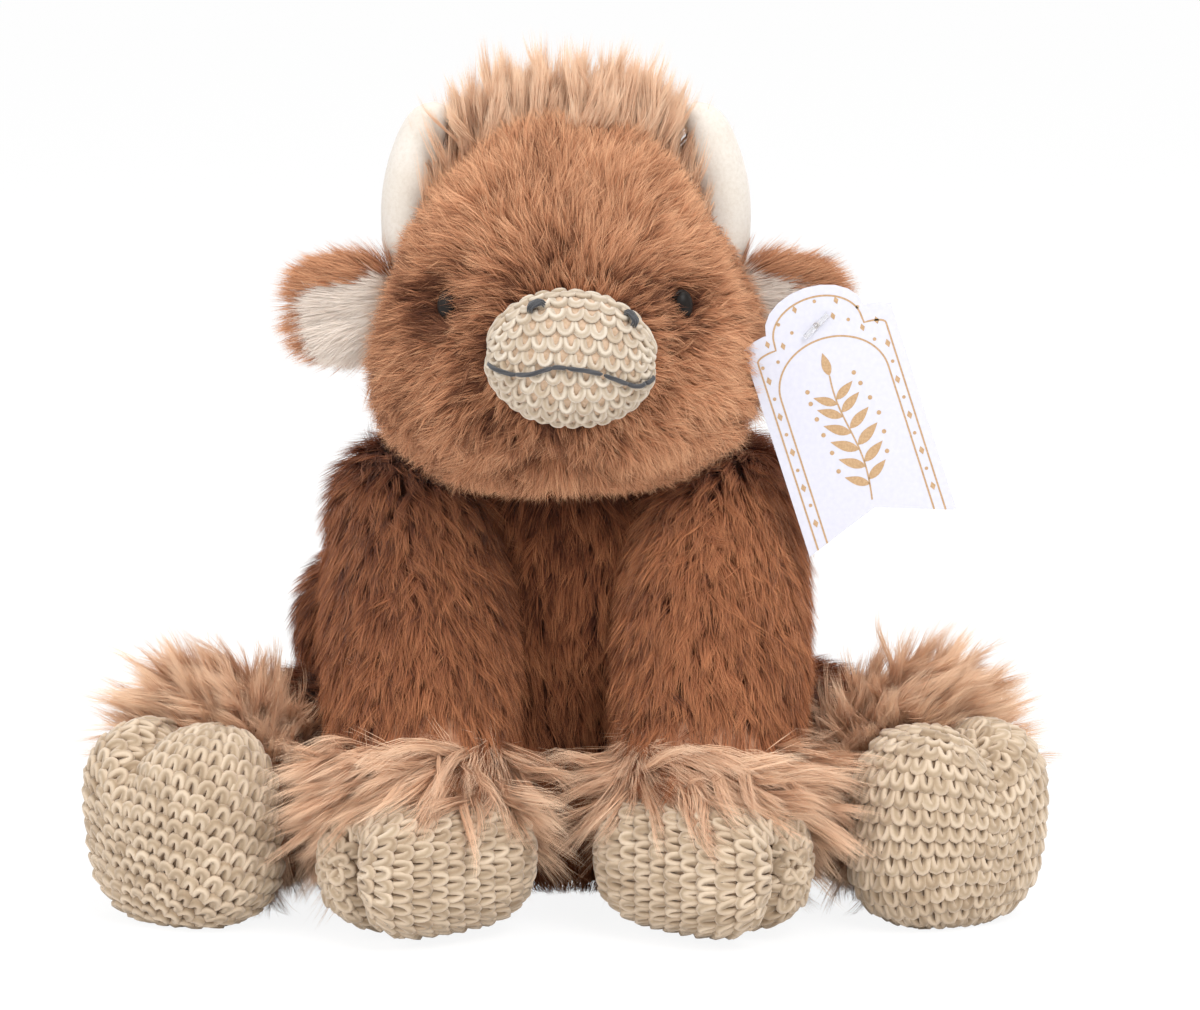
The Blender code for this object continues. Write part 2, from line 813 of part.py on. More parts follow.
def make_ear(name, side, joint, head_space, horn_space, pin_space):
    root = ear_root(side)
    along, wide, front = ear_axes(side)
    start = root - along * EAR_ROOT_OVERLAP
    length = EAR_LENGTH + EAR_ROOT_OVERLAP
    sections = []
    for share, width, thickness in EAR_SHARES:
        centre = start + along * (length * share)
        if width == 0:
            sections.append([centre])
            continue
        sections.append(ring(
            centre, wide, front, EAR_HALF_WIDTH * width, EAR_HALF_THICKNESS * thickness, SMALL_FACETS))
    angles = angle_steps(-EAR_SWING, EAR_SWING)
    swings = swung("ear_swing_" + name, head_space, root, BACKWARD, angles)
    swings += swung("ear_by_horn_" + name, horn_space, root, BACKWARD, angles)
    reach = length + CUT_OVERRUN
    for label, slot, way in (("ear_back_", "short_plush", 1), ("ear_lining_", "white_plush", -1)):
        half = piece(label + name, sections, joint, slot)
        middle = root + front * (way * (reach - SEAT_GAP / 2))
        side_box = cutter(label + "split_" + name, block(middle, (along, wide, front), (reach, reach, reach)))
        cut(half, *swings)
        cut(half, side_box)
        if pin_space:
            cut(half, pin_space)


# Legs


def bootie_frame(along, toe_hint):
    """The toe line square to the leg, and the line across the bootie."""
    toe = (toe_hint - along * toe_hint.dot(along)).normalized()
    return toe, along.cross(toe).normalized()


def make_leg(kind, name, joint, pivot, ankle, sizes, cuff_sizes, toe_hint, swings, floor):
    radius, shares, half_toe, half_width, half_depth = sizes
    cuff_width, cuff_height, cuff_out, cuff_lift, cuff_start, cuff_end = cuff_sizes
    form = limb_sections(pivot, ankle, radius, shares, LIMB_FACETS)
    core = limb_sections(pivot, ankle, radius, thinned(shares), LIMB_CORE_FACETS)
    along, across, over = limb_frame(pivot, ankle)
    length = (ankle - pivot).length
    label = kind + "leg"
    tail = "_" + name

    # The bootie hangs from the leg's end, with its own toe line
    if kind == "fore":
        toe = toe_hint
        wide = UPWARD.cross(toe).normalized()
    else:
        toe, wide = bootie_frame(along, toe_hint)
    bootie_form = bootie_sections(
        ankle, toe, wide, half_toe, half_width, half_depth, LIMB_FACETS)
    inner_toe = half_toe * (1 - CLEFT_DEPTH_SHARE)
    bootie_core = bootie_sections(
        ankle - toe * (half_toe - inner_toe) / 2, toe, wide, (half_toe + inner_toe) / 2,
        half_width, half_depth, LIMB_CORE_FACETS, cleft=False)
    bootie_space = cutter(label + "_bootie_space" + tail, grown(bootie_form, SEAT_GAP))
    leg_space = cutter(label + "_space" + tail, grown(form, SEAT_GAP))

    skin = piece(label + "_skin" + tail, form, joint, "dark_plush")
    hollow = cutter(label + "_hollow" + tail, grown(core, -PLUSH_WALL))
    cut(skin, *swings)
    cut(skin, bootie_space, hollow, floor)
    filling = piece(
        label + "_filling" + tail, grown(core, -PLUSH_WALL - SEAT_GAP), joint, "stuffing")
    cut(filling, *swings)
    cut(filling, bootie_space)

    cover = piece(kind + "hoof_cover" + tail, bootie_form, joint, "crochet")
    bootie_hollow = cutter(kind + "hoof_hollow" + tail, grown(bootie_core, -CROCHET_WALL))
    mouth_radius = radius * MOUTH_RADIUS_SHARE
    mouth = cutter(kind + "hoof_mouth" + tail, [
        ring(ankle - along * (half_depth + CUT_OVERRUN), across, over, mouth_radius, mouth_radius,
             SMALL_FACETS),
        ring(ankle - along * (half_depth / 2), across, over, mouth_radius, mouth_radius, SMALL_FACETS),
    ])
    cut(cover, bootie_hollow, mouth, floor)
    piece(
        kind + "hoof_filling" + tail, grown(bootie_core, -CROCHET_WALL - SEAT_GAP), joint, "stuffing")

    start = length * cuff_start
    span = length * (cuff_end - cuff_start)
    shift = across * math.copysign(cuff_out, pivot.x) + over * cuff_lift
    rows = []
    for share, swell in CUFF_SHARES:
        place = start + span * share
        inside = radius * rows_at(shares, place / length)[1]
        wide = inside + (cuff_width - inside) * swell
        high = inside + (cuff_height - inside) * swell
        centre = pivot + along * place + shift * swell
        rows.append(ring(centre, across, over, wide, high, LIMB_FACETS))
    cuff = piece(kind + "_cuff" + tail, rows, joint, "long_fur")
    cut(cuff, leg_space, bootie_space, floor)
    cut(cuff, *swings)


# Tail and tag


def make_tail(joint, pivot, torso_space):
    end = pivot + Vector((0, TAIL_REACH, -TAIL_FALL))
    form = limb_sections(pivot, end, TAIL_RADIUS, TAIL_SHARES, LIMB_CORE_FACETS)
    swings = swung("tail_swing", torso_space, pivot, ACROSS, angle_steps(0, TAIL_LIFT))
    skin = piece("tail_skin", form, joint, "dark_plush")
    cut(skin, *swings)
    along = (end - pivot).normalized()
    tuft_start = end + along * SEAT_GAP
    tuft_end = tuft_start + along * TUFT_LENGTH
    tuft = piece(
        "tail_tuft", limb_sections(tuft_start, tuft_end, TUFT_RADIUS, TUFT_SHARES, LIMB_CORE_FACETS),
        joint, "long_fur")
    cut(tuft, *swings)


def tag_outline():
    """The card's edge from its left foot round to its right foot, in its own plane."""
    low = -TAG_SHOULDER_DROP - TAG_SIDE_LENGTH
    edge = [Vector((-TAG_HALF_WIDTH, low)), Vector((-TAG_HALF_WIDTH, -TAG_SHOULDER_DROP))]
    corner_run = TAG_HALF_WIDTH - TAG_ARCH_HALF_WIDTH
    for share in (0.15, 0.5, 0.85):
        rise = math.sin(math.pi / 2 * share) * TAG_SHOULDER_DROP - TAG_SHOULDER_DROP
        edge.append(Vector((-TAG_HALF_WIDTH + corner_run * share, rise)))
    steps = 10
    for step in range(steps + 1):
        angle = math.pi * (1 - step / steps)
        edge.append(Vector((TAG_ARCH_HALF_WIDTH * math.cos(angle), TAG_ARCH_RISE * math.sin(angle))))
    mirrored = [Vector((-point.x, point.y)) for point in reversed(edge[:5])]
    return edge + mirrored + [Vector((0, low + TAG_NOTCH))]


def pin_place():
    """Where the pin runs through the left ear."""
    along = ear_axes(1)[0]
    return ear_root(1) + along * (EAR_LENGTH * PIN_OUT_SHARE)


def make_pin(joint, place, card_front):
    """A filament from behind the ear to in front of the card, with a bar at each end."""
    front = card_front - SEAT_GAP - PIN_BAR_RADIUS
    behind = place.y + EAR_HALF_THICKNESS + SEAT_GAP + PIN_BAR_RADIUS
    ends = (Vector((place.x, behind, place.z)), Vector((place.x, front, place.z)))
    rows = [ring(end, ACROSS, UPWARD, PIN_RADIUS, PIN_RADIUS, SMALL_FACETS) for end in ends]
    pin = piece("tag_pin", rows, joint, "clear_plastic")
    for label, end, lean in (("back", ends[0], -1), ("front", ends[1], 1)):
        along = Vector((math.sin(math.radians(45)), 0, math.sin(math.radians(45)) * lean))
        across = BACKWARD.cross(along)
        bar = []
        for way in (-1, 1):
            tip = end + along * (PIN_BAR_HALF_LENGTH * way)
            bar.append(ring(tip, across, BACKWARD, PIN_BAR_RADIUS, PIN_BAR_RADIUS, SMALL_FACETS))
        join(pin, cutter("pin_bar_" + label, bar))


def make_tag(joint, place, card_front):
    right = Vector((math.cos(TAG_TILT), 0, math.sin(TAG_TILT)))
    up = Vector((-math.sin(TAG_TILT), 0, math.cos(TAG_TILT)))
    rows = []
    for y in (card_front, card_front + TAG_THICKNESS):
        middle = Vector((place.x, y, place.z)) + up * TAG_HOLE_DROP
        rows.append([middle + right * point.x + up * point.y for point in tag_outline()])
    card = piece("hang_tag", rows, joint, "card")
    size = PIN_RADIUS + SEAT_GAP
    hole = cutter("tag_hole", [
        ring(Vector((place.x, card_front - CUT_OVERRUN, place.z)), ACROSS, UPWARD, size, size,
             SMALL_FACETS),
        ring(Vector((place.x, card_front + CUT_OVERRUN, place.z)), ACROSS, UPWARD, size, size,
             SMALL_FACETS),
    ])
    cut(card, hole)


def main():
    clear_scene()
    reach = TORSO_HALF_WIDTH + HIND_SPREAD + CUT_OVERRUN
    floor_axes = (ACROSS, BACKWARD, UPWARD)
    floor = cutter("floor_space", block(-UPWARD * reach, floor_axes, (reach, reach, reach)))

    torso_joint = joint_empty("torso", Vector((0, 0, 0)))
    neck_joint = joint_empty("neck", NECK)
    head_joint = joint_empty("head", NECK)
    ball_form = egg_sections(NECK, NECK_RADIUS, NECK_RADIUS, NECK_RADIUS, CORE_FACETS, 8)
    ball = cutter("neck_space", grown(ball_form, SEAT_GAP))
    socket = cutter("neck_socket", grown(ball_form, SEAT_GAP + NECK_NOD_ROOM))
    piece("neck_wad", ball_form, neck_joint, "stuffing")
    recess_top = NECK - UPWARD * NECK_RECESS_DROP
    recess_size = NECK_RECESS_RADIUS
    recess_low = recess_top - UPWARD * (HEAD_DROP + CUT_OVERRUN)
    recess = cutter("neck_recess", [
        ring(recess_low, ACROSS, BACKWARD, recess_size, recess_size, HEAD_FACETS),
        ring(recess_top, ACROSS, BACKWARD, recess_size, recess_size, HEAD_FACETS),
    ])

    make_torso(torso_joint, floor, ball)
    torso_space = cutter("torso_space", grown(torso_sections(), SEAT_GAP))
    head_space, horn_spaces = make_head(head_joint, socket, recess)
    bowed = []
    for name, side in SIDES:
        bow = Matrix.Rotation(NECK_TURN * side, 4, UPWARD) @ Matrix.Rotation(NECK_NOD, 4, ACROSS)
        bowed.append(turned("head_bowed_" + name, head_space, NECK, bow))

    pin = pin_place()
    card_front = pin.y - TAG_FORWARD
    pin_ends = (pin - BACKWARD * TAG_FORWARD, pin + BACKWARD * TAG_FORWARD)
    size = PIN_RADIUS + SEAT_GAP
    pin_space = cutter(
        "pin_space", [ring(end, ACROSS, UPWARD, size, size, SMALL_FACETS) for end in pin_ends])
    for name, side in SIDES:
        ear_joint = joint_empty("ear_" + name, ear_root(side))
        make_ear(
            name, side, ear_joint, head_space, horn_spaces[name], pin_space if side == 1 else None)
        if side == 1:
            make_pin(ear_joint, pin, card_front)
    tag_joint = joint_empty("tag", pin)
    make_tag(tag_joint, pin, card_front)

    fore_sizes = (FORE_RADIUS, FORE_SHARES, FORE_TOE, FORE_WIDTH, FORE_DEPTH)
    fore_cuff = (
        FORE_CUFF_WIDTH, FORE_CUFF_HEIGHT, FORE_CUFF_OUT, FORE_CUFF_LIFT, FORE_CUFF_START_SHARE,
        FORE_CUFF_END_SHARE)
    hind_sizes = (HIND_RADIUS, HIND_SHARES, HIND_TOE, HIND_WIDTH, HIND_DEPTH)
    hind_cuff = (
        HIND_CUFF_WIDTH, HIND_CUFF_HEIGHT, HIND_CUFF_OUT, HIND_CUFF_LIFT, HIND_CUFF_START_SHARE,
        HIND_CUFF_END_SHARE)
    for name, side in SIDES:
        shoulder = Vector((side * SHOULDER_OUT, -SHOULDER_FORWARD, TORSO_HEIGHT - SHOULDER_DROP))
        fore_ankle = Vector((side * FORE_SPREAD, -SHOULDER_FORWARD - FORE_REACH, FORE_DEPTH - FLOOR_PRESS))
        joint = joint_empty("foreleg_" + name, shoulder)
        swings = swung(
            "shoulder_swing_" + name, torso_space, shoulder, -ACROSS, angle_steps(0, FORE_RAISE))
        swings += swung("raised_by_head_" + name, head_space, shoulder, -ACROSS, (FORE_RAISE,))
        swings += bowed
        toe = Vector((side * math.sin(FORE_TOE_TURN), -math.cos(FORE_TOE_TURN), 0))
        make_leg(
            "fore", name, joint, shoulder, fore_ankle, fore_sizes, fore_cuff, toe, swings, floor)

        hip = Vector((side * HIP_OUT, HIP_BACK, HIP_HEIGHT))
        hind_ankle = Vector((side * HIND_SPREAD, HIP_BACK - HIND_REACH, HIND_TOE - FLOOR_PRESS))
        joint = joint_empty("hindleg_" + name, hip)
        swings = swung(
            "hip_swing_" + name, torso_space, hip, UPWARD * side, angle_steps(0, HIND_SPLAY))
        make_leg(
            "hind", name, joint, hip, hind_ankle, hind_sizes, hind_cuff, UPWARD, swings, floor)

    wide, deep, forward = rows_at(TORSO_SHARES, TAIL_HEIGHT / TORSO_HEIGHT)[1:]
    tail_pivot = Vector((0, TORSO_HALF_DEPTH * (deep - forward), TAIL_HEIGHT))
    tail_joint = joint_empty("tail", tail_pivot)
    make_tail(tail_joint, tail_pivot, torso_space)


main()
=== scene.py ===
# Seated plush cow: short pile, long-haired cuffs and crown, crocheted muzzle and booties.
# Metres, +Z up. The cow faces -Y, so its own left side is at +X.
import json
import math

import bmesh
import bpy
import numpy as np
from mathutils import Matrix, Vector
from mathutils.bvhtree import BVHTree
from mathutils.kdtree import KDTree


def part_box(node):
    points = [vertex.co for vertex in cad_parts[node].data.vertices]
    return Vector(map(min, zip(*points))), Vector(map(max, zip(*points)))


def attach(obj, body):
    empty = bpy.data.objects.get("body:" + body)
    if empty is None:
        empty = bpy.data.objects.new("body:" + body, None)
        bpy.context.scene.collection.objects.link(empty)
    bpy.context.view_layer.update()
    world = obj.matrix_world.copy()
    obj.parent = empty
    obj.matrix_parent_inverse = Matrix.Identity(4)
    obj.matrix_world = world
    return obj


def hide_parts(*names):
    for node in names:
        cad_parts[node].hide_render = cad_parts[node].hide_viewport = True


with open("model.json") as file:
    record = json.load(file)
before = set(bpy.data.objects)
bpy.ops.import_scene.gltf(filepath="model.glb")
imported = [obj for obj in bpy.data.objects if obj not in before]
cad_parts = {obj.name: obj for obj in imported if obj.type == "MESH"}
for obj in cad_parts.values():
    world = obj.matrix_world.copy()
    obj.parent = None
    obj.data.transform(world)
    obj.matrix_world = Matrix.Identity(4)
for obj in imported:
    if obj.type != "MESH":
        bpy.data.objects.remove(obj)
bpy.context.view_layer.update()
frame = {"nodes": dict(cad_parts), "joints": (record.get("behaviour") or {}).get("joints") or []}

mm = 0.001
sides = (("left", 1), ("right", -1))
feet = [(kind, sideName, side) for kind in ("fore", "hind") for sideName, side in sides]
upward = np.array((0.0, 0.0, 1.0))


# Helpers for nodes and finishes


def feed(tree, node, inputs):
    # joins each input of a node to an output, or sets its value
    for socket, value in inputs.items():
        if isinstance(value, bpy.types.NodeSocket):
            tree.links.new(value, node.inputs[socket])
        else:
            node.inputs[socket].default_value = value
    return node


def addNode(tree, kind, inputs=None, **settings):
    node = tree.nodes.new(kind)
    for label, value in settings.items():
        setattr(node, label, value)
    return feed(tree, node, inputs or {})


def newMaterial(name, roughness, sheen, specular):
    material = bpy.data.materials.new(name)
    material.use_nodes = True
    tree = material.node_tree
    shader = feed(tree, tree.nodes["Principled BSDF"], {
        "Roughness": roughness, "Sheen Weight": sheen, "Sheen Roughness": 0.6,
        "Specular IOR Level": specular,
    })
    return material, tree, shader


def colourRamp(tree, value, stops):
    node = addNode(tree, "ShaderNodeValToRGB", {0: value})
    elements = node.color_ramp.elements
    while len(elements) < len(stops):
        elements.new(0.5)
    for element, (place, colour) in zip(elements, stops):
        element.position = place
        element.color = (*colour, 1)
    return node.outputs[0]


def multiplied(tree, first, second):
    return addNode(tree, "ShaderNodeMix", {"Factor": 1, 6: first, 7: second}, data_type="RGBA",
                   blend_type="MULTIPLY").outputs[2]


def attribute(tree, label):
    return addNode(tree, "ShaderNodeAttribute", attribute_name=label).outputs["Fac"]


def grain(tree, noise, strength=0, depth=0):
    # noise over the object, raised as relief where it has a strength
    place = addNode(tree, "ShaderNodeTexCoord").outputs["Object"]
    value = addNode(tree, "ShaderNodeTexNoise", dict(noise, Vector=place)).outputs[0]
    if strength:
        relief = addNode(tree, "ShaderNodeBump", {"Strength": strength, "Distance": depth, "Height": value})
        feed(tree, tree.nodes["Principled BSDF"], {"Normal": relief.outputs[0]})
    return value


def speckledMaterial(name, finish):
    # a colour that varies in a fine grain, some with a wash over it or see-through
    material, tree, shader = newMaterial(name, *finish["surface"])
    tint = colourRamp(tree, grain(tree, finish["noise"], *finish.get("relief", ())), finish["stops"])
    if "wash" in finish:
        tint = multiplied(tree, tint, colourRamp(tree, grain(tree, {"Scale": 60}), finish["wash"]))
    feed(tree, shader, dict(finish.get("clear", {}), **{"Base Color": tint}))
    return material


def backing(name, dark, light, scale=700):
    # knitted cloth under a pile or a yarn
    return speckledMaterial(name, {"surface": (0.95, 0.2, 0.2), "noise": {"Scale": scale, "Detail": 4},
                                   "stops": ((0.35, dark), (0.65, light)), "relief": (0.35, 0.4 * mm)})


def strandMaterial(name, finish):
    # colour runs from dark roots to lighter tips, partly the fur's own colour and partly painted shade deep
    # in the pile, and each lock and strand has its own shade
    material, tree, shader = newMaterial(name, finish["roughness"], 0.1, 0.15)
    along, shade = attribute(tree, "along"), attribute(tree, "shade")
    dark, light = (colourRamp(tree, along, finish[key]) for key in ("dark", "light"))
    mixed = addNode(tree, "ShaderNodeMix", {"Factor": shade, 6: dark, 7: light}, data_type="RGBA").outputs[2]
    # the lowest shades go darker still; these carry the painted shade round the eyes, beside the muzzle and
    # on the chest, and some random dark strands
    deep = colourRamp(tree, shade, ((0.0, finish["deep"]), (0.22, (1, 1, 1))))
    feed(tree, shader, {"Base Color": multiplied(tree, mixed, deep)})
    return material


def yarnMaterial(name, roughness, light, groove, deep):
    # painted shade in the grooves between the plies, lighter on the plies, and each stitch has its own
    # random shade
    material, tree, shader = newMaterial(name, roughness, 0.25, 0.25)
    tone = colourRamp(tree, attribute(tree, "along"), ((0.1, light), (0.9, groove)))
    dim = colourRamp(tree, attribute(tree, "shade"), ((0.0, deep), (1.0, (1, 1, 1))))
    grain(tree, {"Scale": 2600, "Detail": 3}, 0.5, 0.15 * mm)
    feed(tree, shader, {"Base Color": multiplied(tree, tone, dim)})
    return material


shortPlush = strandMaterial("short plush", {
    "roughness": 0.7, "deep": (0.34, 0.28, 0.25),
    "dark": ((0.0, (0.095, 0.031, 0.013)), (0.45, (0.28, 0.098, 0.042)), (1.0, (0.53, 0.228, 0.106))),
    "light": ((0.0, (0.170, 0.058, 0.024)), (0.40, (0.53, 0.215, 0.098)), (1.0, (0.92, 0.56, 0.33))),
})
# painted shade: a darker copy of the short plush for the torso, neck and legs, also a little redder as their
# own tone
plushInPaintedShade = strandMaterial("plush in painted shade", {
    "roughness": 0.7, "deep": (0.45, 0.38, 0.35),
    "dark": ((0.0, (0.060, 0.016, 0.006)), (0.45, (0.165, 0.045, 0.016)), (1.0, (0.33, 0.108, 0.041))),
    "light": ((0.0, (0.095, 0.026, 0.010)), (0.40, (0.35, 0.108, 0.040)), (1.0, (0.70, 0.31, 0.14))),
})
longFur = strandMaterial("long fur", {
    "roughness": 0.55, "deep": (0.75, 0.66, 0.60),
    "dark": ((0.0, (0.38, 0.170, 0.090)), (0.35, (0.56, 0.300, 0.175)), (1.0, (0.76, 0.48, 0.31))),
    "light": ((0.0, (0.60, 0.340, 0.205)), (0.40, (0.84, 0.560, 0.365)), (1.0, (0.93, 0.72, 0.53))),
})
whitePlush = strandMaterial("white plush", {
    "roughness": 0.7, "deep": (0.95, 0.92, 0.90),
    "dark": ((0.0, (0.66, 0.50, 0.40)), (0.45, (0.82, 0.69, 0.59)), (1.0, (0.88, 0.79, 0.71))),
    "light": ((0.0, (0.78, 0.64, 0.54)), (0.40, (0.89, 0.79, 0.70)), (1.0, (0.93, 0.87, 0.80))),
})
# the cloths under the short pile and the long hair are as dark as the strands' roots: partly their own
# colour and partly painted shade where they show between the locks
brownBacking = backing("brown backing", (0.070, 0.020, 0.008), (0.14, 0.044, 0.018))
tanBacking = backing("tan backing", (0.34, 0.155, 0.085), (0.48, 0.25, 0.145))
paleBacking = backing("pale backing", (0.70, 0.55, 0.45), (0.80, 0.68, 0.58))
# painted shade: the cloths under the crochet are darker than their yarn where they show between the stitches
beigeBackingPaintedShade = backing("beige backing painted shade", (0.17, 0.11, 0.065), (0.24, 0.16, 0.10), 900)
creamBackingPaintedShade = backing("cream backing painted shade", (0.46, 0.32, 0.21), (0.58, 0.42, 0.30), 900)
beigeYarn = yarnMaterial("beige yarn", 0.85, (0.66, 0.53, 0.395), (0.42, 0.315, 0.21), (0.50, 0.42, 0.33))
creamYarn = yarnMaterial("cream yarn", 0.85, (0.64, 0.56, 0.46), (0.46, 0.375, 0.28), (0.62, 0.52, 0.41))
darkThread = yarnMaterial("dark thread", 0.7, (0.06, 0.06, 0.066), (0.024, 0.024, 0.028), (0.6, 0.6, 0.6))


# Camera, floor and light

shot = {
    "target": Vector((0.0102, -0.040, 0.1203)), "distance": 1.6, "elevation": math.radians(8), "lens": 160,
    "backdropWhite": 1.26, "skyStrength": 0.62,
    "floorColour": (0.92, 0.92, 0.92, 1), "floorSize": 14, "floorGlow": 0.86, "floorStrength": 1.05,
    # name, place, size and watts
    "lamps": (("key", (0.85, -1.5, 1.8), 1.2, 38), ("fill", (-1.4, -1.3, 1.0), 1.4, 16),
              ("top", (0.1, 0.4, 1.8), 1.4, 14)),
}


def linkHolder(name, data, place, turn):
    holder = bpy.data.objects.new(name, data)
    holder.location = place
    holder.rotation_euler = turn
    bpy.context.scene.collection.objects.link(holder)
    return holder


def addCamera():
    camera = bpy.data.cameras.new("camera")
    camera.lens = shot["lens"]
    camera.sensor_width = 36
    camera.clip_end = 20
    back = Vector((0, -math.cos(shot["elevation"]), math.sin(shot["elevation"])))
    bpy.context.scene.camera = linkHolder("camera", camera, shot["target"] + back * shot["distance"],
                                          (math.pi / 2 - shot["elevation"], 0, 0))


def addFloor():
    # pale, and lit up for the camera so that it meets the white backdrop
    size = shot["floorSize"]
    data = bpy.data.meshes.new("floor")
    data.from_pydata([(-size, -size, 0), (size, -size, 0), (size, size, 0), (-size, size, 0)], [],
                     [(0, 1, 2, 3)])
    material, tree, shader = newMaterial("pale floor", 0.9, 0, 0.5)
    feed(tree, shader, {"Base Color": shot["floorColour"]})
    glow = addNode(tree, "ShaderNodeEmission", {"Strength": shot["floorStrength"]}).outputs[0]
    seen = addNode(tree, "ShaderNodeLightPath").outputs["Is Camera Ray"]
    share = addNode(tree, "ShaderNodeMath", {0: seen, 1: shot["floorGlow"]}, operation="MULTIPLY").outputs[0]
    mix = addNode(tree, "ShaderNodeMixShader", {0: share, 1: shader.outputs[0], 2: glow}).outputs[0]
    feed(tree, tree.nodes["Material Output"], {"Surface": mix})
    data.materials.append(material)
    linkHolder("floor", data, (0, 0, 0), (0, 0, 0))


def addLamps():
    for name, place, size, watts in shot["lamps"]:
        lamp = bpy.data.lights.new(name, "AREA")
        lamp.energy = watts
        lamp.size = size
        aim = shot["target"] - Vector(place)
        linkHolder(name, lamp, place, aim.to_track_quat("-Z", "Y").to_euler())


def addSky():
    # a soft light all round, and a white backdrop for what the camera sees
    world = bpy.data.worlds.new("studio")
    bpy.context.scene.world = world
    world.use_nodes = True
    tree = world.node_tree
    light = feed(tree, tree.nodes["Background"], {"Color": (1, 1, 1, 1), "Strength": shot["skyStrength"]})
    white = addNode(tree, "ShaderNodeBackground", {"Strength": shot["backdropWhite"]})
    path = addNode(tree, "ShaderNodeLightPath").outputs
    rays = path["Is Camera Ray"]
    for label in ("Is Glossy Ray", "Is Transmission Ray"):
        rays = addNode(tree, "ShaderNodeMath", {0: rays, 1: path[label]}, operation="MAXIMUM").outputs[0]
    mix = addNode(tree, "ShaderNodeMixShader", {0: rays, 1: light.outputs[0], 2: white.outputs[0]})
    feed(tree, tree.nodes["World Output"], {"Surface": mix.outputs[0]})


print("stage: camera, floor and lamps")
addCamera()
addFloor()
addSky()
addLamps()
bpy.context.scene.view_settings.view_transform = "Standard"


# Helpers for shapes


def unit(vectors):
    length = np.linalg.norm(vectors, axis=-1, keepdims=True)
    return vectors / np.maximum(length, 1e-12)


def ramp(value, low, high):
    share = np.clip((value - low) / (high - low), 0, 1)
    return share * share * (3 - 2 * share)


def drift(points, scale, seed):
    # smooth pseudo-random values between about -1 and 1 over space
    total = np.zeros(len(points))
    for turn in range(3):
        way = np.array((math.sin(seed + 2.1 * turn), math.cos(1.7 * seed + turn),
                        math.sin(0.6 * seed - turn)))
        total += np.sin(points @ way * (scale * (1 + 0.7 * turn)) + seed * (turn + 1.3))
    return total / 3


def linkPiece(name, data, material):
    item = bpy.data.objects.new(name, data)
    bpy.context.scene.collection.objects.link(item)
    data.materials.append(material)
    return item


def polyMesh(name, points, corners, starts, attributes=None, bakeMap=None, smooth=True):
    # a mesh from flat arrays of points, face corners and face starts
    data = bpy.data.meshes.new(name)
    data.vertices.add(len(points))
    data.vertices.foreach_set("co", np.ascontiguousarray(points, dtype=np.float32).ravel())
    data.loops.add(len(corners))
    data.loops.foreach_set("vertex_index", np.ascontiguousarray(corners, dtype=np.int32))
    data.polygons.add(len(starts))
    data.polygons.foreach_set("loop_start", np.ascontiguousarray(starts, dtype=np.int32))
    data.update(calc_edges=True)
    for label, values in (attributes or {}).items():
        layer = data.attributes.new(label, "FLOAT", "POINT")
        layer.data.foreach_set("value", np.ascontiguousarray(values, dtype=np.float32))
    if bakeMap is not None:
        layer = data.uv_layers.new(name="OFBake")
        layer.uv.foreach_set("vector", np.ascontiguousarray(bakeMap[corners], dtype=np.float32).ravel())
    if smooth:
        data.shade_smooth()
    return data


def vertexArrays(data):
    arrays = []
    for label in ("co", "normal"):
        values = np.zeros(len(data.vertices) * 3, np.float32)
        data.vertices.foreach_get(label, values)
        arrays.append(values.reshape(-1, 3).astype(float))
    return arrays


def nodePoints(*names):
    return np.concatenate([vertexArrays(frame["nodes"][name].data)[0] for name in names])


def boxOf(name):
    return (np.array(corner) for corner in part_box(name))


def jointPlace(name):
    return np.array(next(joint["pos_m"] for joint in frame["joints"] if joint["name"] == name))


def onSide(place, side):
    # a place given for the left side, there or mirrored
    return np.array((side * place[0], place[1], place[2]))


def reshape(item, change):
    # moves each point by a function of its place
    item.data.vertices.foreach_set("co", change(*vertexArrays(item.data)).astype(np.float32).ravel())
    item.data.update()


def near(places, middle, radius):
    # 1 at the middle, falling away round it
    return np.exp(-(np.linalg.norm(places - middle, axis=1) / radius) ** 2)


def runLength(line):
    # how far along the line each of its points lies
    return np.concatenate(((0,), np.cumsum(np.linalg.norm(np.diff(line, axis=0), axis=1))))


def smoothPath(points, count):
    # a curve through the points, read at even steps
    points = np.array(points, float)
    padded = np.concatenate((2 * points[:1] - points[1:2], points, 2 * points[-1:] - points[-2:-1]))
    place = np.linspace(0, len(points) - 1, count)
    index = np.minimum(place.astype(int), len(points) - 2)
    share = (place - index)[:, None]
    a, b, c, d = (padded[index + step] for step in range(4))
    return 0.5 * (2 * b + (c - a) * share + (2 * a - 5 * b + 4 * c - d) * share ** 2
                  + (3 * b - a - 3 * c + d) * share ** 3)


def roundForm(name, points, form, material):
    # the smooth hull of a cloud of points, drawn in by the form's inset
    builder = bmesh.new()
    for point in points:
        builder.verts.new(point)
    result = bmesh.ops.convex_hull(builder, input=builder.verts)
    spare = [part for part in result["geom_interior"] if isinstance(part, bmesh.types.BMVert)]
    bmesh.ops.delete(builder, geom=spare, context="VERTS")
    data = bpy.data.meshes.new(name)
    builder.to_mesh(data)
    builder.free()
    item = linkPiece(name, data, material)
    remesh = item.modifiers.new("even faces", "REMESH")
    remesh.mode = "VOXEL"
    remesh.voxel_size = form["voxel"]
    soften = item.modifiers.new("soften", "SMOOTH")
    soften.factor = 0.5
    soften.iterations = form["soften"]
    graph = bpy.context.evaluated_depsgraph_get()
    item.data = bpy.data.meshes.new_from_object(item.evaluated_get(graph))
    item.modifiers.clear()
    bpy.data.meshes.remove(data)
    item.data.shade_smooth()
    reshape(item, lambda points, normals: points - normals * form.get("inset", 0))
    return item


def meshTree(item):
    points = [vertex.co.copy() for vertex in item.data.vertices]
    return BVHTree.FromPolygons(points, [list(face.vertices) for face in item.data.polygons])


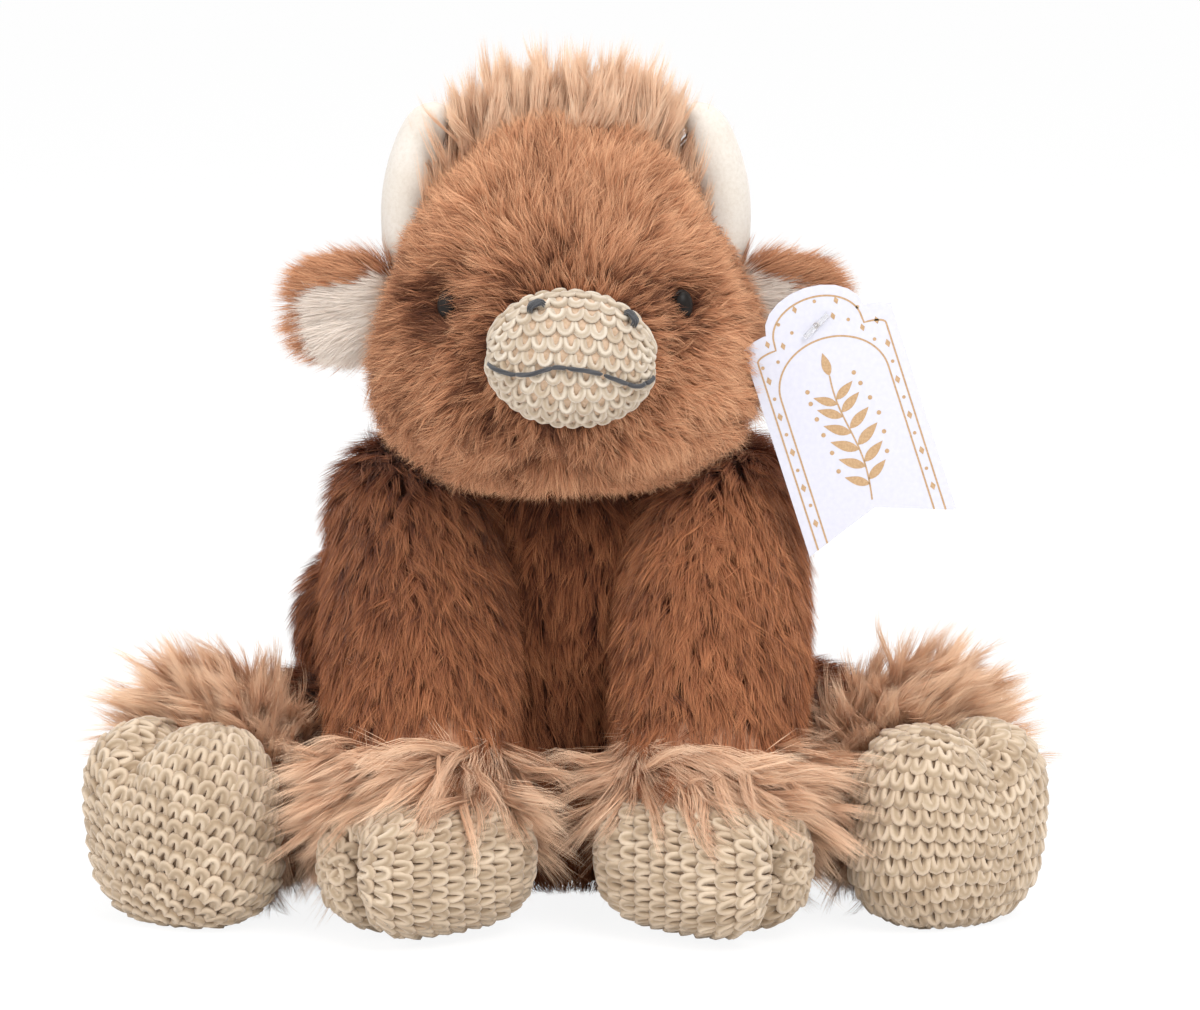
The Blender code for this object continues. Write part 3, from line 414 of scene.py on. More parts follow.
def scatter(data, count, rng):
    # points spread evenly over a mesh, with their smooth normals
    data.calc_loop_triangles()
    corners = np.zeros(len(data.loop_triangles) * 3, np.int32)
    data.loop_triangles.foreach_get("vertices", corners)
    corners = corners.reshape(-1, 3)
    points, normals = vertexArrays(data)
    first, second, third = (points[corners[:, column]] for column in range(3))
    areas = np.linalg.norm(np.cross(second - first, third - first), axis=1) / 2
    reach = np.cumsum(areas)
    picks = np.searchsorted(reach, rng.random(count) * reach[-1])
    picks = np.clip(picks, 0, len(corners) - 1)
    along = np.sqrt(rng.random(count))[:, None]
    across = rng.random(count)[:, None]
    shares = (1 - along, along * (1 - across), along * across)
    places = sum(points[corners[picks, column]] * shares[column] for column in range(3))
    facing = sum(normals[corners[picks, column]] * shares[column] for column in range(3))
    return places, unit(facing)


def dress(item, body, slot, *replaced):
    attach(item, body)
    if replaced:
        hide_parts(*replaced)
    return item


def clothPiece(item, body, slot, replaced):
    dress(item, body, slot, *replaced)


# Strands of pile and hair


def strandMesh(name, curves, widths, outward, roll, shade, material):
    # ribbons that taper from root to tip, facing out of the cloth
    count, rings = curves.shape[:2]
    steps = np.diff(curves, axis=1)
    heading = unit(np.concatenate((steps, steps[:, -1:]), axis=1))
    facing = np.broadcast_to(outward[:, None], heading.shape)
    sideways = unit(np.cross(heading, facing))
    over = np.cross(sideways, heading)
    turned = sideways * np.cos(roll)[:, None, None] + over * np.sin(roll)[:, None, None]
    taper = (1 - (np.arange(rings - 1) / (rings - 1)) ** 2.2)
    half = widths[:, None, None] * taper[None, :, None] / 2
    left = curves[:, :-1] - turned[:, :-1] * half
    right = curves[:, :-1] + turned[:, :-1] * half
    pairs = np.stack((left, right), axis=2).reshape(count, -1, 3)
    points = np.concatenate((pairs, curves[:, -1:]), axis=1)
    each = points.shape[1]
    local = []
    starts = []
    for ring in range(rings - 2):
        starts.append(len(local))
        local += [2 * ring, 2 * ring + 1, 2 * ring + 3, 2 * ring + 2]
    starts.append(len(local))
    local += [each - 3, each - 2, each - 1]
    base = np.arange(count)[:, None]
    corners = (base * each + np.array(local)[None]).ravel()
    first = (base * len(local) + np.array(starts)[None]).ravel()
    ringShare = np.arange(rings - 1) / (rings - 1)
    along = np.append(np.repeat(ringShare, 2), 1.0)
    alongAll = np.broadcast_to(along, (count, each)).ravel()
    shadeAll = np.repeat(shade, each)
    bakeMap = np.stack((np.clip(shadeAll, 0, 1), alongAll), axis=1) * 0.98 + 0.01
    points = points.reshape(-1, 3)
    points[:, 2] = np.maximum(points[:, 2], 0.15 * mm)
    attributes = {"along": alongAll, "shade": shadeAll}
    data = polyMesh(name, points, corners, first, attributes, bakeMap)
    return linkPiece(name, data, material)


def strandPieces(name, body, slot, parts, order, strands, material):
    # the strands in order, split into parts that are pieces of their own
    pieces = []
    for part, chosen in enumerate(np.array_split(order, parts)):
        label = name if parts == 1 else name + "_" + str(part + 1)
        piece = strandMesh(label, *(values[chosen] for values in strands), material)
        pieces.append(dress(piece, body, slot))
    return pieces


def nearestOf(middles, places):
    # the number of each place's nearest middle
    tree = KDTree(len(middles))
    for index, middle in enumerate(middles):
        tree.insert(middle, index)
    tree.balance()
    find = tree.find
    return np.fromiter((find(place)[1] for place in places.tolist()), dtype=np.int64, count=len(places))


def lockOf(places, everyNth):
    # each strand's nearest lock, whose middle is every nth strand
    middles = np.arange(0, len(places), everyNth)
    return middles[nearestOf(places[middles], places)]


def growPile(name, body, slot, base, pile, comb, material, shape=None):
    # strands over a base, combed by a field and drawn into locks
    rng = np.random.default_rng(pile["seed"])
    count = int(pile["count"] * (0.15 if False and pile["count"] > 9000 else 1))
    places, normals = scatter(base.data, count, rng)
    lengths = pile["length"] * (1 + pile["spread"] * rng.uniform(-1, 1, count))
    if shape:
        share, keep = shape(places, normals)
        places, normals, lengths = places[keep], normals[keep], (lengths * share)[keep]
    count = len(places)
    flow = comb(places, normals)
    jitter = rng.normal(0, pile["stray"], (count, 3))
    lock = lockOf(places, pile["perLock"])
    swirl = rng.normal(0, pile["lockStray"], (count, 3))[lock]
    flow = unit(flow) + jitter + swirl
    flow = unit(flow - normals * np.sum(flow * normals, axis=1, keepdims=True))
    lift = math.radians(pile["lift"]) * (1 + 0.25 * rng.uniform(-1, 1, count))
    lift = lift * (0.8 + 0.4 * rng.random(count)[lock])
    share = np.linspace(0, 1, 3)
    rise = np.sin(lift)[:, None] * (share - pile["bend"] * share ** 2)[None]
    run = np.cos(lift)[:, None] * share[None]
    run = run + np.sin(lift)[:, None] * (pile["bend"] * 0.6 * share ** 2)[None]
    curves = normals[:, None] * (rise * lengths[:, None])[..., None]
    curves = curves + flow[:, None] * (run * lengths[:, None])[..., None]
    centre = curves[lock] * (lengths / lengths[lock])[:, None, None] + (places[lock] - places)[:, None]
    pull = pile["pull"] * (0.75 + 0.25 * rng.random(count))
    draw = pull[:, None] * (share ** 1.5)[None]
    curves = curves + (centre - curves) * draw[..., None]
    curves = curves + places[:, None] - normals[:, None] * 0.4 * mm
    lockShade = rng.normal(0.5, pile["lockShade"], count)[lock]
    shade = lockShade + rng.normal(0, pile["shade"], count)
    if "patch" in pile:
        shade = shade + pile["patch"] * drift(places, pile["patchScale"], pile["seed"])
    if "tone" in pile:
        shade = shade + pile["tone"](places)
    widths = pile["width"] * (0.7 + 0.6 * rng.random(count))
    roll = rng.normal(0, 0.55, count)
    middle = places.mean(axis=0)
    order = np.argsort(np.arctan2(places[:, 0] - middle[0], -(places[:, 1] - middle[1])))
    strands = (curves, widths, normals, roll, np.clip(shade, 0, 1))
    return strandPieces(name, body, slot, pile.get("parts", 1), order, strands, material)


# what the smaller pieces of pile have in common
plainPile = {
    "spread": 0.25, "bend": 0.35, "width": 0.20 * mm, "perLock": 14, "pull": 0.5, "stray": 0.10,
    "lockStray": 0.14, "shade": 0.12, "lockShade": 0.11,
}


# Head: a stuffed bag with a swelling snout

head = {
    "form": {"inset": 1.6 * mm, "voxel": 2.2 * mm, "soften": 6},
    "socketDepth": 4.2 * mm, "socketRadius": 9 * mm, "dentDepth": 4.0 * mm, "dentRadius": 9 * mm,
    "cheek": (58 * mm, -55 * mm, 158 * mm), "cheekSwell": 2.6 * mm, "cheekRadius": 24 * mm,
    "lumps": 1.5 * mm,
    # the pile round the eyes, and the painted shade, painted light and random mottle in the pile's colour
    "eyeDrop": 2.0 * mm, "eyeClear": 3.7 * mm, "eyeShort": (4 * mm, 11 * mm), "uneven": 0.26,
    "muzzleGap": 0.86, "eyePaintedShade": 0.80, "eyePaintedShadeRadius": 9.5 * mm,
    "cheekPaintedLightPlace": (48 * mm, -70 * mm, 168 * mm), "cheekPaintedLight": 0.28, "cheekPaintedLightRadius": 26 * mm,
    "browPaintedLight": 0.10, "muzzlePaintedShade": 0.24, "dentPaintedShade": 0.30,
    "pile": {
        "seed": 11, "count": 260000, "parts": 4, "length": 10.5 * mm, "spread": 0.44, "lift": 50,
        "bend": 0.45, "width": 0.19 * mm, "perLock": 12, "pull": 0.58, "stray": 0.13,
        "lockStray": 0.28, "shade": 0.12, "lockShade": 0.19, "patch": 0.26, "patchScale": 210,
    },
}
headLow, headHigh = boxOf("head_skin")
headMiddle = (headLow + headHigh) / 2
muzzleLow, muzzleHigh = boxOf("muzzle_cover")
muzzleMiddle = (muzzleLow + muzzleHigh) / 2
muzzleHalf = (muzzleHigh - muzzleLow) / 2
muzzleRoot = np.array((muzzleMiddle[0], muzzleHigh[1], muzzleMiddle[2]))
chinDent = np.array((muzzleMiddle[0] - 6 * mm, headLow[1] + 14 * mm, muzzleLow[2] - 12 * mm))
eyePlaces = {}
for sideName, side in sides:
    eyeLow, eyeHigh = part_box("eye_" + sideName)
    eyePlaces[sideName] = np.array((eyeLow + eyeHigh) / 2)


def aroundMuzzle(places):
    # how far each place lies from the muzzle's middle, in shares of its half width and height
    return np.linalg.norm((places - muzzleMiddle)[:, (0, 2)] / muzzleHalf[[0, 2]], axis=1)


def headComb(places, normals):
    # up and out from the muzzle, down the back and under the chin
    away = places - muzzleRoot
    away[:, 1] *= 0.6
    fan = unit(away) + np.array((0, 0, -0.22))
    down = np.tile(np.array((0, 0.35, -1.0)), (len(places), 1))
    back = ramp(places[:, 1], headMiddle[1] + 2 * mm, headMiddle[1] + 22 * mm)[:, None]
    flow = fan * (1 - back) + down * back
    flow[:, 0] += 0.22 * drift(places, 90, 3.0) + 0.20 * drift(places, 240, 7.0)
    flow[:, 2] += 0.15 * drift(places, 110, 5.0) + 0.20 * drift(places, 260, 9.0)
    return flow


def headShape(places, normals):
    # shorter pile round the eyes and the muzzle, none under the muzzle
    share = np.ones(len(places))
    keep = np.ones(len(places), bool)
    for place in eyePlaces.values():
        distance = np.linalg.norm(places - place + upward * head["eyeDrop"], axis=1)
        share *= 0.50 + 0.50 * ramp(distance, *head["eyeShort"])
        keep &= distance > head["eyeClear"]
    share *= 1 + head["uneven"] * drift(places, 300, 5.5)
    radius = aroundMuzzle(places)
    front = places[:, 1] < headMiddle[1]
    share *= np.where(front, 0.62 + 0.38 * ramp(radius, 0.9, 1.5), 1)
    return share, keep & ~(front & (radius < head["muzzleGap"]))


def headMottleAndPaintedLight(places):
    # painted shade round the eyes, beside the muzzle and in the chin dent, painted light on the brow and on
    # the left cheek with painted shade on the right one, and a random mottle
    tone = head["browPaintedLight"] * ramp(places[:, 2], muzzleHigh[2], headHigh[2] - 12 * mm)
    for sideName, side in sides:
        spot = eyePlaces[sideName] + np.array((-side, 0, -1)) * mm
        tone -= head["eyePaintedShade"] * near(places, spot, head["eyePaintedShadeRadius"])
        lit = near(places, onSide(head["cheekPaintedLightPlace"], side), head["cheekPaintedLightRadius"])
        tone += head["cheekPaintedLight"] * side * lit
    ring = np.exp(-((aroundMuzzle(places) - 1.05) / 0.26) ** 2)
    tone -= head["muzzlePaintedShade"] * ring + 0.20 * drift(places, 430, 1.4)
    return tone - head["dentPaintedShade"] * near(places, chinDent, head["dentRadius"])


def headFeatures(points, normals):
    # eye sockets, the dent under the chin, fuller cheeks and the loose lumps of a stuffed bag
    for place in eyePlaces.values():
        socket = head["socketDepth"] * near(points, place, head["socketRadius"])
        points = points - normals * socket[:, None]
    points = points - normals * (head["dentDepth"] * near(points, chinDent, head["dentRadius"]))[:, None]
    for sideName, side in sides:
        cheek = onSide(head["cheek"], side)
        points = points + normals * (head["cheekSwell"] * near(points, cheek, head["cheekRadius"]))[:, None]
    return points + normals * (head["lumps"] * drift(points, 85, 2.6))[:, None]


print("stage: head")
# the head pile's colour carries painted shade and painted light
head["pile"]["tone"] = headMottleAndPaintedLight
headCloth = roundForm("head_cloth", nodePoints("head_skin"), head["form"], brownBacking)
reshape(headCloth, headFeatures)
clothPiece(headCloth, "head", "short_plush", ("head_skin", "head_filling"))
growPile("head_pile", "head", "short_plush", headCloth, head["pile"], headComb, shortPlush, headShape)


# Torso: a stuffed bag on the floor, and the neck that it carries

torso = {
    "form": {"inset": 2.0 * mm, "voxel": 2.8 * mm, "soften": 6},
    "pile": {
        "seed": 21, "count": 185000, "parts": 3, "length": 11.0 * mm, "spread": 0.28, "lift": 44,
        "bend": 0.42, "width": 0.22 * mm, "perLock": 18, "pull": 0.6, "stray": 0.11,
        "lockStray": 0.24, "shade": 0.11, "lockShade": 0.18, "patch": 0.18, "patchScale": 160,
    },
    # painted shade all over the torso pile, and more of it on the chest
    "shade": 0.16, "chestPaintedShade": 0.12,
    "hip": (66 * mm, 4 * mm, 84 * mm), "hipSwell": {"left": 5 * mm, "right": 18 * mm}, "hipRadius": 24 * mm,
    "neckForm": {"inset": -2 * mm, "voxel": 2.4 * mm, "soften": 4},
    "neckPile": dict(plainPile, seed=23, count=14000, length=9.0 * mm, lift=50, bend=0.42, width=0.21 * mm,
                     perLock=16),
}


def downComb(places, normals):
    flow = np.tile(np.array((0, 0, -1.0)), (len(places), 1))
    flow[:, 0] += 0.3 * drift(places, 60, 2.0) + 0.15 * drift(places, 220, 6.0)
    flow[:, 1] += 0.3 * drift(places, 55, 4.0)
    return flow


def offFloor(places, normals):
    # no pile on the underside, which rests on the floor
    return 1, ~((normals[:, 2] < -0.75) & (places[:, 2] < 8 * mm))


def restOn(item, height):
    reshape(item, lambda points, normals: np.maximum(points, (-np.inf, -np.inf, height)))


def torsoPaintedShade(places):
    # painted shade: darker all over, and more on the chest between the forelegs
    return -torso["shade"] - torso["chestPaintedShade"] * ramp(places[:, 2], 70 * mm, 110 * mm)


def fullHips(points, normals):
    # the stuffing pushes the sides out behind the forelegs
    for sideName, side in sides:
        distance = np.linalg.norm((points - onSide(torso["hip"], side)) * (1, 0.7, 0.8), axis=1)
        swell = torso["hipSwell"][sideName] * np.exp(-(distance / torso["hipRadius"]) ** 2)
        points = points + normals * swell[:, None]
    return points


print("stage: torso")
torso["pile"]["tone"] = torsoPaintedShade
torsoCloth = roundForm("torso_cloth", nodePoints("torso_skin"), torso["form"], brownBacking)
reshape(torsoCloth, fullHips)
restOn(torsoCloth, 0.2 * mm)
clothPiece(torsoCloth, "torso", "dark_plush", ("torso_skin", "torso_filling", "pellet_pouch"))
growPile("torso_pile", "torso", "dark_plush", torsoCloth, torso["pile"], downComb, plushInPaintedShade, offFloor)
neckCloth = roundForm("neck_cloth", nodePoints("neck_wad"), torso["neckForm"], brownBacking)
clothPiece(neckCloth, "neck", "dark_plush", ("neck_wad",))
growPile("neck_pile", "neck", "dark_plush", neckCloth, torso["neckPile"], downComb, plushInPaintedShade)


# Legs: stuffed tubes of dark pile

leg = {
    "form": {"inset": 0.6 * mm, "voxel": 2.4 * mm, "soften": 6},
    "fore": {"count": 112000, "parts": 2}, "hind": {"count": 44000, "parts": 1},
    "seeds": (31, 32, 35, 36),
    # painted light on the top of each leg, and how much more of it the left one has
    "topPaintedLight": 0.16, "sidePaintedLight": 0.20,
    "pile": {
        "length": 13.5 * mm, "spread": 0.36, "lift": 48, "bend": 0.45,
        "width": 0.22 * mm, "perLock": 20, "pull": 0.64, "stray": 0.12, "lockStray": 0.27,
        "shade": 0.12, "lockShade": 0.20, "patch": 0.24, "patchScale": 190,
    },
}


def limbAxis(kind, sideName):
    # a leg's line from its joint to the middle of its bootie
    low, high = boxOf(kind + "hoof_cover_" + sideName)
    return jointPlace({"fore": "shoulder_", "hind": "hip_"}[kind] + sideName), (low + high) / 2


def limbComb(start, end):
    along = unit(end - start)

    def comb(places, normals):
        foot = (places - start) @ along
        spoke = unit(places - start - foot[:, None] * along)
        # no parting on the rounded top of the leg
        flow = along + spoke * (0.22 * ramp(foot, 0, 40 * mm))[:, None] + np.array((0, 0, -0.25))
        flow[:, 0] += 0.22 * drift(places, 70, 6.0) + 0.18 * drift(places, 230, 4.0)
        flow[:, 2] += 0.15 * drift(places, 80, 8.0)
        return flow
    return comb


def shoulderPaintedLight(places):
    # painted light on the top of each leg, and more on the left one
    height = places[:, 2]
    light = leg["sidePaintedLight"] * ramp(height, 66 * mm, 96 * mm) * np.sign(places[:, 0])
    return leg["topPaintedLight"] * ramp(height, 98 * mm, 122 * mm) + light


print("stage: legs")
leg["pile"]["tone"] = shoulderPaintedLight
for seed, (kind, sideName, side) in zip(leg["seeds"], feet):
    label, body = kind + "leg_", kind + "leg_" + sideName
    cloth = roundForm(label + "cloth_" + sideName, nodePoints(label + "skin_" + sideName), leg["form"],
                      brownBacking)
    restOn(cloth, 0.2 * mm)
    clothPiece(cloth, body, "dark_plush", (label + "skin_" + sideName, label + "filling_" + sideName))
    pile = dict(leg["pile"], seed=seed, **leg[kind])
    comb = limbComb(*limbAxis(kind, sideName))
    growPile(label + "pile_" + sideName, body, "dark_plush", cloth, pile, comb, plushInPaintedShade, offFloor)


# Yarn work: crocheted stitches laid in rounds, each a bent length of plied yarn

yarn = {
    "pitch": 4.0 * mm, "row": 4.8 * mm, "radius": 1.45 * mm, "rings": 11, "lean": 0.08,
    "thread": {"sides": 10, "plies": 3, "plyDepth": 0.15, "twist": 1.1},
    # one stitch as shares of the pitch, the row and the yarn's radius
    "arch": ((-0.36, -0.80, -1.0), (-0.40, -0.54, -0.42), (-0.37, -0.20, 0.0), (-0.22, 0.08, 0.26),
             (0.0, 0.16, 0.34), (0.22, 0.07, 0.25), (0.37, -0.22, -0.02), (0.40, -0.56, -0.45),
             (0.36, -0.80, -1.0)),
}


def yarnTubes(paths, outward, radius, phase, sides, plies, plyDepth, twist, ends=0.6):
    # closed tubes of plied yarn along many paths of equal count
    count, rings = paths.shape[:2]
    heading = unit(np.gradient(paths, axis=1))
    facing = outward if outward.ndim == 3 else np.broadcast_to(outward[:, None], heading.shape)
    sideways = unit(np.cross(heading, facing))
    over = np.cross(sideways, heading)
    steps = np.linalg.norm(np.diff(paths, axis=1), axis=2)
    length = np.concatenate((np.zeros((count, 1)), np.cumsum(steps, axis=1)), axis=1)
    angle = np.arange(sides) / sides * 2 * math.pi
    turn = length * twist / (6 * radius) + phase[:, None]
    lobes = 1 + plyDepth * np.cos(plies * (angle[None, None] - turn[..., None]))
    share = np.linspace(0, 1, rings)
    close = ends + (1 - ends) * np.sqrt(np.clip(np.sin(math.pi * share) * 2.2, 0, 1))
    thick = radius * lobes * close[None, :, None]
    points = paths[:, :, None] + sideways[:, :, None] * (np.cos(angle) * thick)[..., None]
    points = points + over[:, :, None] * (np.sin(angle) * thick)[..., None]
    ring = np.arange(rings - 1)[:, None] * sides
    spoke = np.arange(sides)[None]
    after = (spoke + 1) % sides
    quads = np.stack((ring + spoke, ring + after, ring + sides + after, ring + sides + spoke), axis=-1)
    quads = quads.ravel()
    first = np.arange(sides)[::-1]
    last = (rings - 1) * sides + np.arange(sides)
    starts = np.concatenate((np.arange(0, len(quads), 4), (len(quads), len(quads) + sides)))
    local = np.concatenate((quads, first, last))
    base = np.arange(count)[:, None]
    corners = (base * rings * sides + local[None]).ravel()
    allStarts = (base * len(local) + starts[None]).ravel()
    # how deep in the groove between two plies each point lies; the yarn's colour turns this into painted
    # shade
    groove = np.broadcast_to(1 - (lobes - 1 + plyDepth) / (2 * plyDepth), (count, rings, sides)).ravel()
    return points.reshape(-1, 3), corners, allStarts, groove


def yarnPiece(name, paths, outward, radius, material, dressing, rng, thread):
    phase = rng.random(len(paths)) * 2.1
    points, corners, starts, groove = yarnTubes(paths, outward, radius, phase, **thread)
    shade = np.repeat(np.clip(rng.normal(0.75, 0.16, len(paths)), 0, 1), len(points) // len(paths))
    bakeMap = np.stack((shade, groove), axis=1) * 0.98 + 0.01
    data = polyMesh(name, points, corners, starts, {"along": groove, "shade": shade}, bakeMap)
    return dress(linkPiece(name, data, material), *dressing)


def stitchPaths(origins, across, along, normals, stitch, rng):
    # the bent yarn of each stitch, from its place and its two steps on the cloth
    arch = smoothPath(stitch["arch"], stitch["rings"])
    count = len(origins)
    size = 1 + rng.normal(0, 0.035, count)
    lean = rng.normal(stitch["lean"], 0.05, count)
    sideways = arch[None, :, 0] * size[:, None] + lean[:, None] * arch[None, :, 1]
    paths = origins[:, None] + across[:, None] * sideways[..., None]
    paths = paths + along[:, None] * (arch[None, :, 1] * size[:, None])[..., None]
    return paths + normals[:, None] * (arch[None, :, 2] * stitch["radius"])[..., None]


# Booties: crocheted in rounds over a stuffed form with a cleft in the toe

bootie = {
    "fore": {
        "form": {"inset": 3.0 * mm, "voxel": 1.8 * mm, "soften": 3}, "wider": 0.96, "boxiness": 3.0,
        "cleft": {"offset": -0.02, "depth": 12 * mm, "width": 0.17, "start": 0.30, "fade": 23 * mm},
        "yarn": yarn, "legHole": 0.80,
    },
    "hind": {
        "form": {"inset": 1.0 * mm, "voxel": 1.8 * mm, "soften": 3}, "wider": 1.08, "boxiness": 2.9,
        "cleft": {"offset": 0.10, "depth": 6 * mm, "width": 0.16, "start": 0.20, "fade": 90 * mm},
        "yarn": dict(yarn, pitch=4.2 * mm, row=4.7 * mm, radius=1.5 * mm), "legHole": 0.55,
    },
    "ankle": (113 * mm, -72 * mm, 30.3 * mm),
    "toeTurn": math.radians(52), "foreRoundTurn": math.radians(66), "hindRoundLean": math.radians(22),
    "stitchLift": 0.2 * mm, "spiral": 0.10, "sole": 1.74 * mm,
}


def turned(angle, side):
    # level, this far round from straight ahead to one side
    return np.array((side * math.sin(angle), -math.cos(angle), 0.0))


def bootieFrame(kind, sideName, side):
    # its middle, the way its toe points and the way across the toe
    start, centre = limbAxis(kind, sideName)
    if kind == "fore":
        toe = turned(bootie["toeTurn"], side)
        return centre, toe, np.cross(upward, toe)
    shin = unit(onSide(bootie["ankle"], side) - start)
    toe = unit(upward - shin * (upward @ shin))
    return centre, toe, np.cross(shin, toe)


def roundLine(kind, sideName, side):
    # the line that the rounds are worked about, and which way their round ends face
    if kind == "fore":
        return turned(bootie["foreRoundTurn"], side), -1
    if sideName == "right":
        return np.array((math.sin(bootie["hindRoundLean"]), 0.0, math.cos(bootie["hindRoundLean"]))), 1
    return upward, -1


def cleave(cloth, kind, side, axes):
    # fills the corners of the stuffed form and presses the cleft into the toe
    centre, toe, across = axes
    cleft = bootie[kind]["cleft"]
    frameAxes = np.stack((toe, across, np.cross(toe, across)))

    def press(points, normals):
        local = (points - centre) @ frameAxes.T
        shares = np.abs(local) / np.abs(local).max(axis=0)
        power = bootie[kind]["boxiness"]
        fuller = np.sum(shares ** 2.35, axis=1) ** (1 / 2.35)
        fuller = fuller / np.sum(shares ** power, axis=1) ** (1 / power)
        local = local * fuller[:, None] * np.array((1, bootie[kind]["wider"], 1))
        points = centre + local @ frameAxes
        reach = (points - centre) @ toe
        wide = (points - centre) @ across
        reach = reach / reach.max()
        wide = wide / np.abs(wide).max()
        # the groove bends a little as it runs
        line = -side * cleft["offset"] + 0.05 * np.sin(3.0 * reach + side)
        dip = np.exp(-((wide - line) / cleft["width"]) ** 2) * ramp(reach, cleft["start"], 0.85)
        dip = dip * (1 - ramp(points[:, 2], cleft["fade"], cleft["fade"] + 14 * mm))
        return points - toe * (cleft["depth"] * dip)[:, None]
    reshape(cloth, press)


def gridMesh(name, points, material):
    # a mesh over a stack of rings, drawn to a point at both ends
    rows, columns = points.shape[:2]
    flat = np.concatenate((points.reshape(-1, 3), points[:1].mean(axis=1), points[-1:].mean(axis=1)))
    pairs = [(column, (column + 1) % columns) for column in range(columns)]
    faces = []
    for low in range(0, (rows - 1) * columns, columns):
        high = low + columns
        faces += [(low + here, low + after, high + after, high + here) for here, after in pairs]
    top, last = rows * columns, (rows - 1) * columns
    for here, after in pairs:
        faces += [(top, after, here), (top + 1, last + here, last + after)]
    data = bpy.data.meshes.new(name)
    data.from_pydata(flat.tolist(), [], faces)
    builder = bmesh.new()
    builder.from_mesh(data)
    bmesh.ops.recalc_face_normals(builder, faces=builder.faces)
    builder.to_mesh(data)
    builder.free()
    data.shade_smooth()
    return linkPiece(name, data, material)


def clothGrid(cloth, centre, line, rows=70, columns=110):
    # where spokes from the middle meet the cloth, from pole to pole about the line
    tree = meshTree(cloth)
    beside = unit(np.cross(line, np.array((0.3, -0.9, 0.31))))
    front = np.cross(line, beside)
    polar = np.linspace(0.05, math.pi - 0.05, rows)[:, None, None]
    azimuth = np.linspace(0, 2 * math.pi, columns, endpoint=False)[None, :, None]
    ways = np.sin(polar) * (np.cos(azimuth) * beside + np.sin(azimuth) * front) + np.cos(polar) * line
    middle = Vector(centre)
    spots = [tuple(tree.ray_cast(middle, Vector(way))[0]) for way in ways.reshape(-1, 3)]
    return np.array(spots).reshape(rows, columns, 3)


def clothRounds(grid, stitch, spiral, rng):
    # rounds of stitches evenly spaced over the grid, with their steps across and along
    columns = grid.shape[1]
    steps = np.linalg.norm(np.diff(grid, axis=0), axis=2)
    reach = np.concatenate((np.zeros((1, columns)), np.cumsum(steps, axis=0)))
    rounds = round(float(reach[-1].mean()) / stitch["row"])
    known = np.concatenate((grid, unit(np.gradient(grid, axis=0))), axis=2)
    places, across, along = [], [], []
    for number in range(rounds):
        wanted = reach[-1] * (number + 0.5) / rounds
        ring = np.array([[np.interp(wanted[column], reach[:, column], known[:, column, axis])
                          for axis in range(6)] + [reach[-1, column] / rounds] for column in range(columns)])
        ring = np.concatenate((ring, ring[:1]))
        gone = runLength(ring[:, :3])
        stitches = max(4, round(gone[-1] / stitch["pitch"]))
        shares = (np.arange(stitches) + number * spiral + rng.normal(0, 0.03, stitches)) / stitches % 1
        spots = np.stack([np.interp(shares * gone[-1], gone, ring[:, axis]) for axis in range(7)], axis=1)
        ahead = (shares * gone[-1] + 0.6 * mm) % gone[-1]
        after = np.stack([np.interp(ahead, gone, ring[:, axis]) for axis in range(3)], axis=1)
        places.append(spots[:, :3])
        across.append(unit(after - spots[:, :3]) * (gone[-1] / stitches))
        along.append(unit(spots[:, 3:6]) * spots[:, 6:])
    return np.concatenate(places), np.concatenate(across), np.concatenate(along)


def makeBootie(kind, sideName, side, seed):
    rng = np.random.default_rng(seed)
    shape = bootie[kind]
    axes = bootieFrame(kind, sideName, side)
    body, cover = kind + "leg_" + sideName, kind + "hoof_cover_" + sideName
    cloth = roundForm(kind + "hoof_cloth_" + sideName, nodePoints(cover), shape["form"], beigeBackingPaintedShade)
    cleave(cloth, kind, side, axes)
    restOn(cloth, 1.0 * mm)
    clothPiece(cloth, body, "crochet", (cover, kind + "hoof_filling_" + sideName))
    line, turn = roundLine(kind, sideName, side)
    place, across, along = clothRounds(clothGrid(cloth, axes[0], line), shape["yarn"], bootie["spiral"], rng)
    normals = unit(np.cross(across, along))
    normals = normals * np.sign(np.sum(normals * (place - axes[0]), axis=1, keepdims=True))
    shown = normals @ unit(limbAxis(kind, sideName)[0] - axes[0]) < shape["legHole"]
    # along grows away from the line's head, so round ends that face the head turn it about
    place, across, along, normals = place[shown], across[shown] * turn, along[shown] * -turn, normals[shown]
    place = place + normals * bootie["stitchLift"]
    paths = stitchPaths(place, across, along, normals, shape["yarn"], rng)
    paths[..., 2] = np.maximum(paths[..., 2], bootie["sole"])
    yarnPiece(kind + "hoof_stitches_" + sideName, paths, normals, shape["yarn"]["radius"], beigeYarn,
              (body, "crochet"), rng, yarn["thread"])
    return cloth


print("stage: booties")
bootieCloths = {}
for number, (kind, sideName, side) in enumerate(feet):
    bootieCloths[kind, sideName] = makeBootie(kind, sideName, side, 51 + number)


# Long hair: locks that follow guides, bent by gravity and round what they meet

# what all the long hair has in common
longHair = {
    "rings": 6, "clear": 1.0 * mm, "ragged": 0.40, "flyaways": 0.05, "perWisp": 9, "frizz": 0.4 * mm,
    "ripple": 0.25 * mm, "lockShade": 0.13, "shade": 0.09,
}


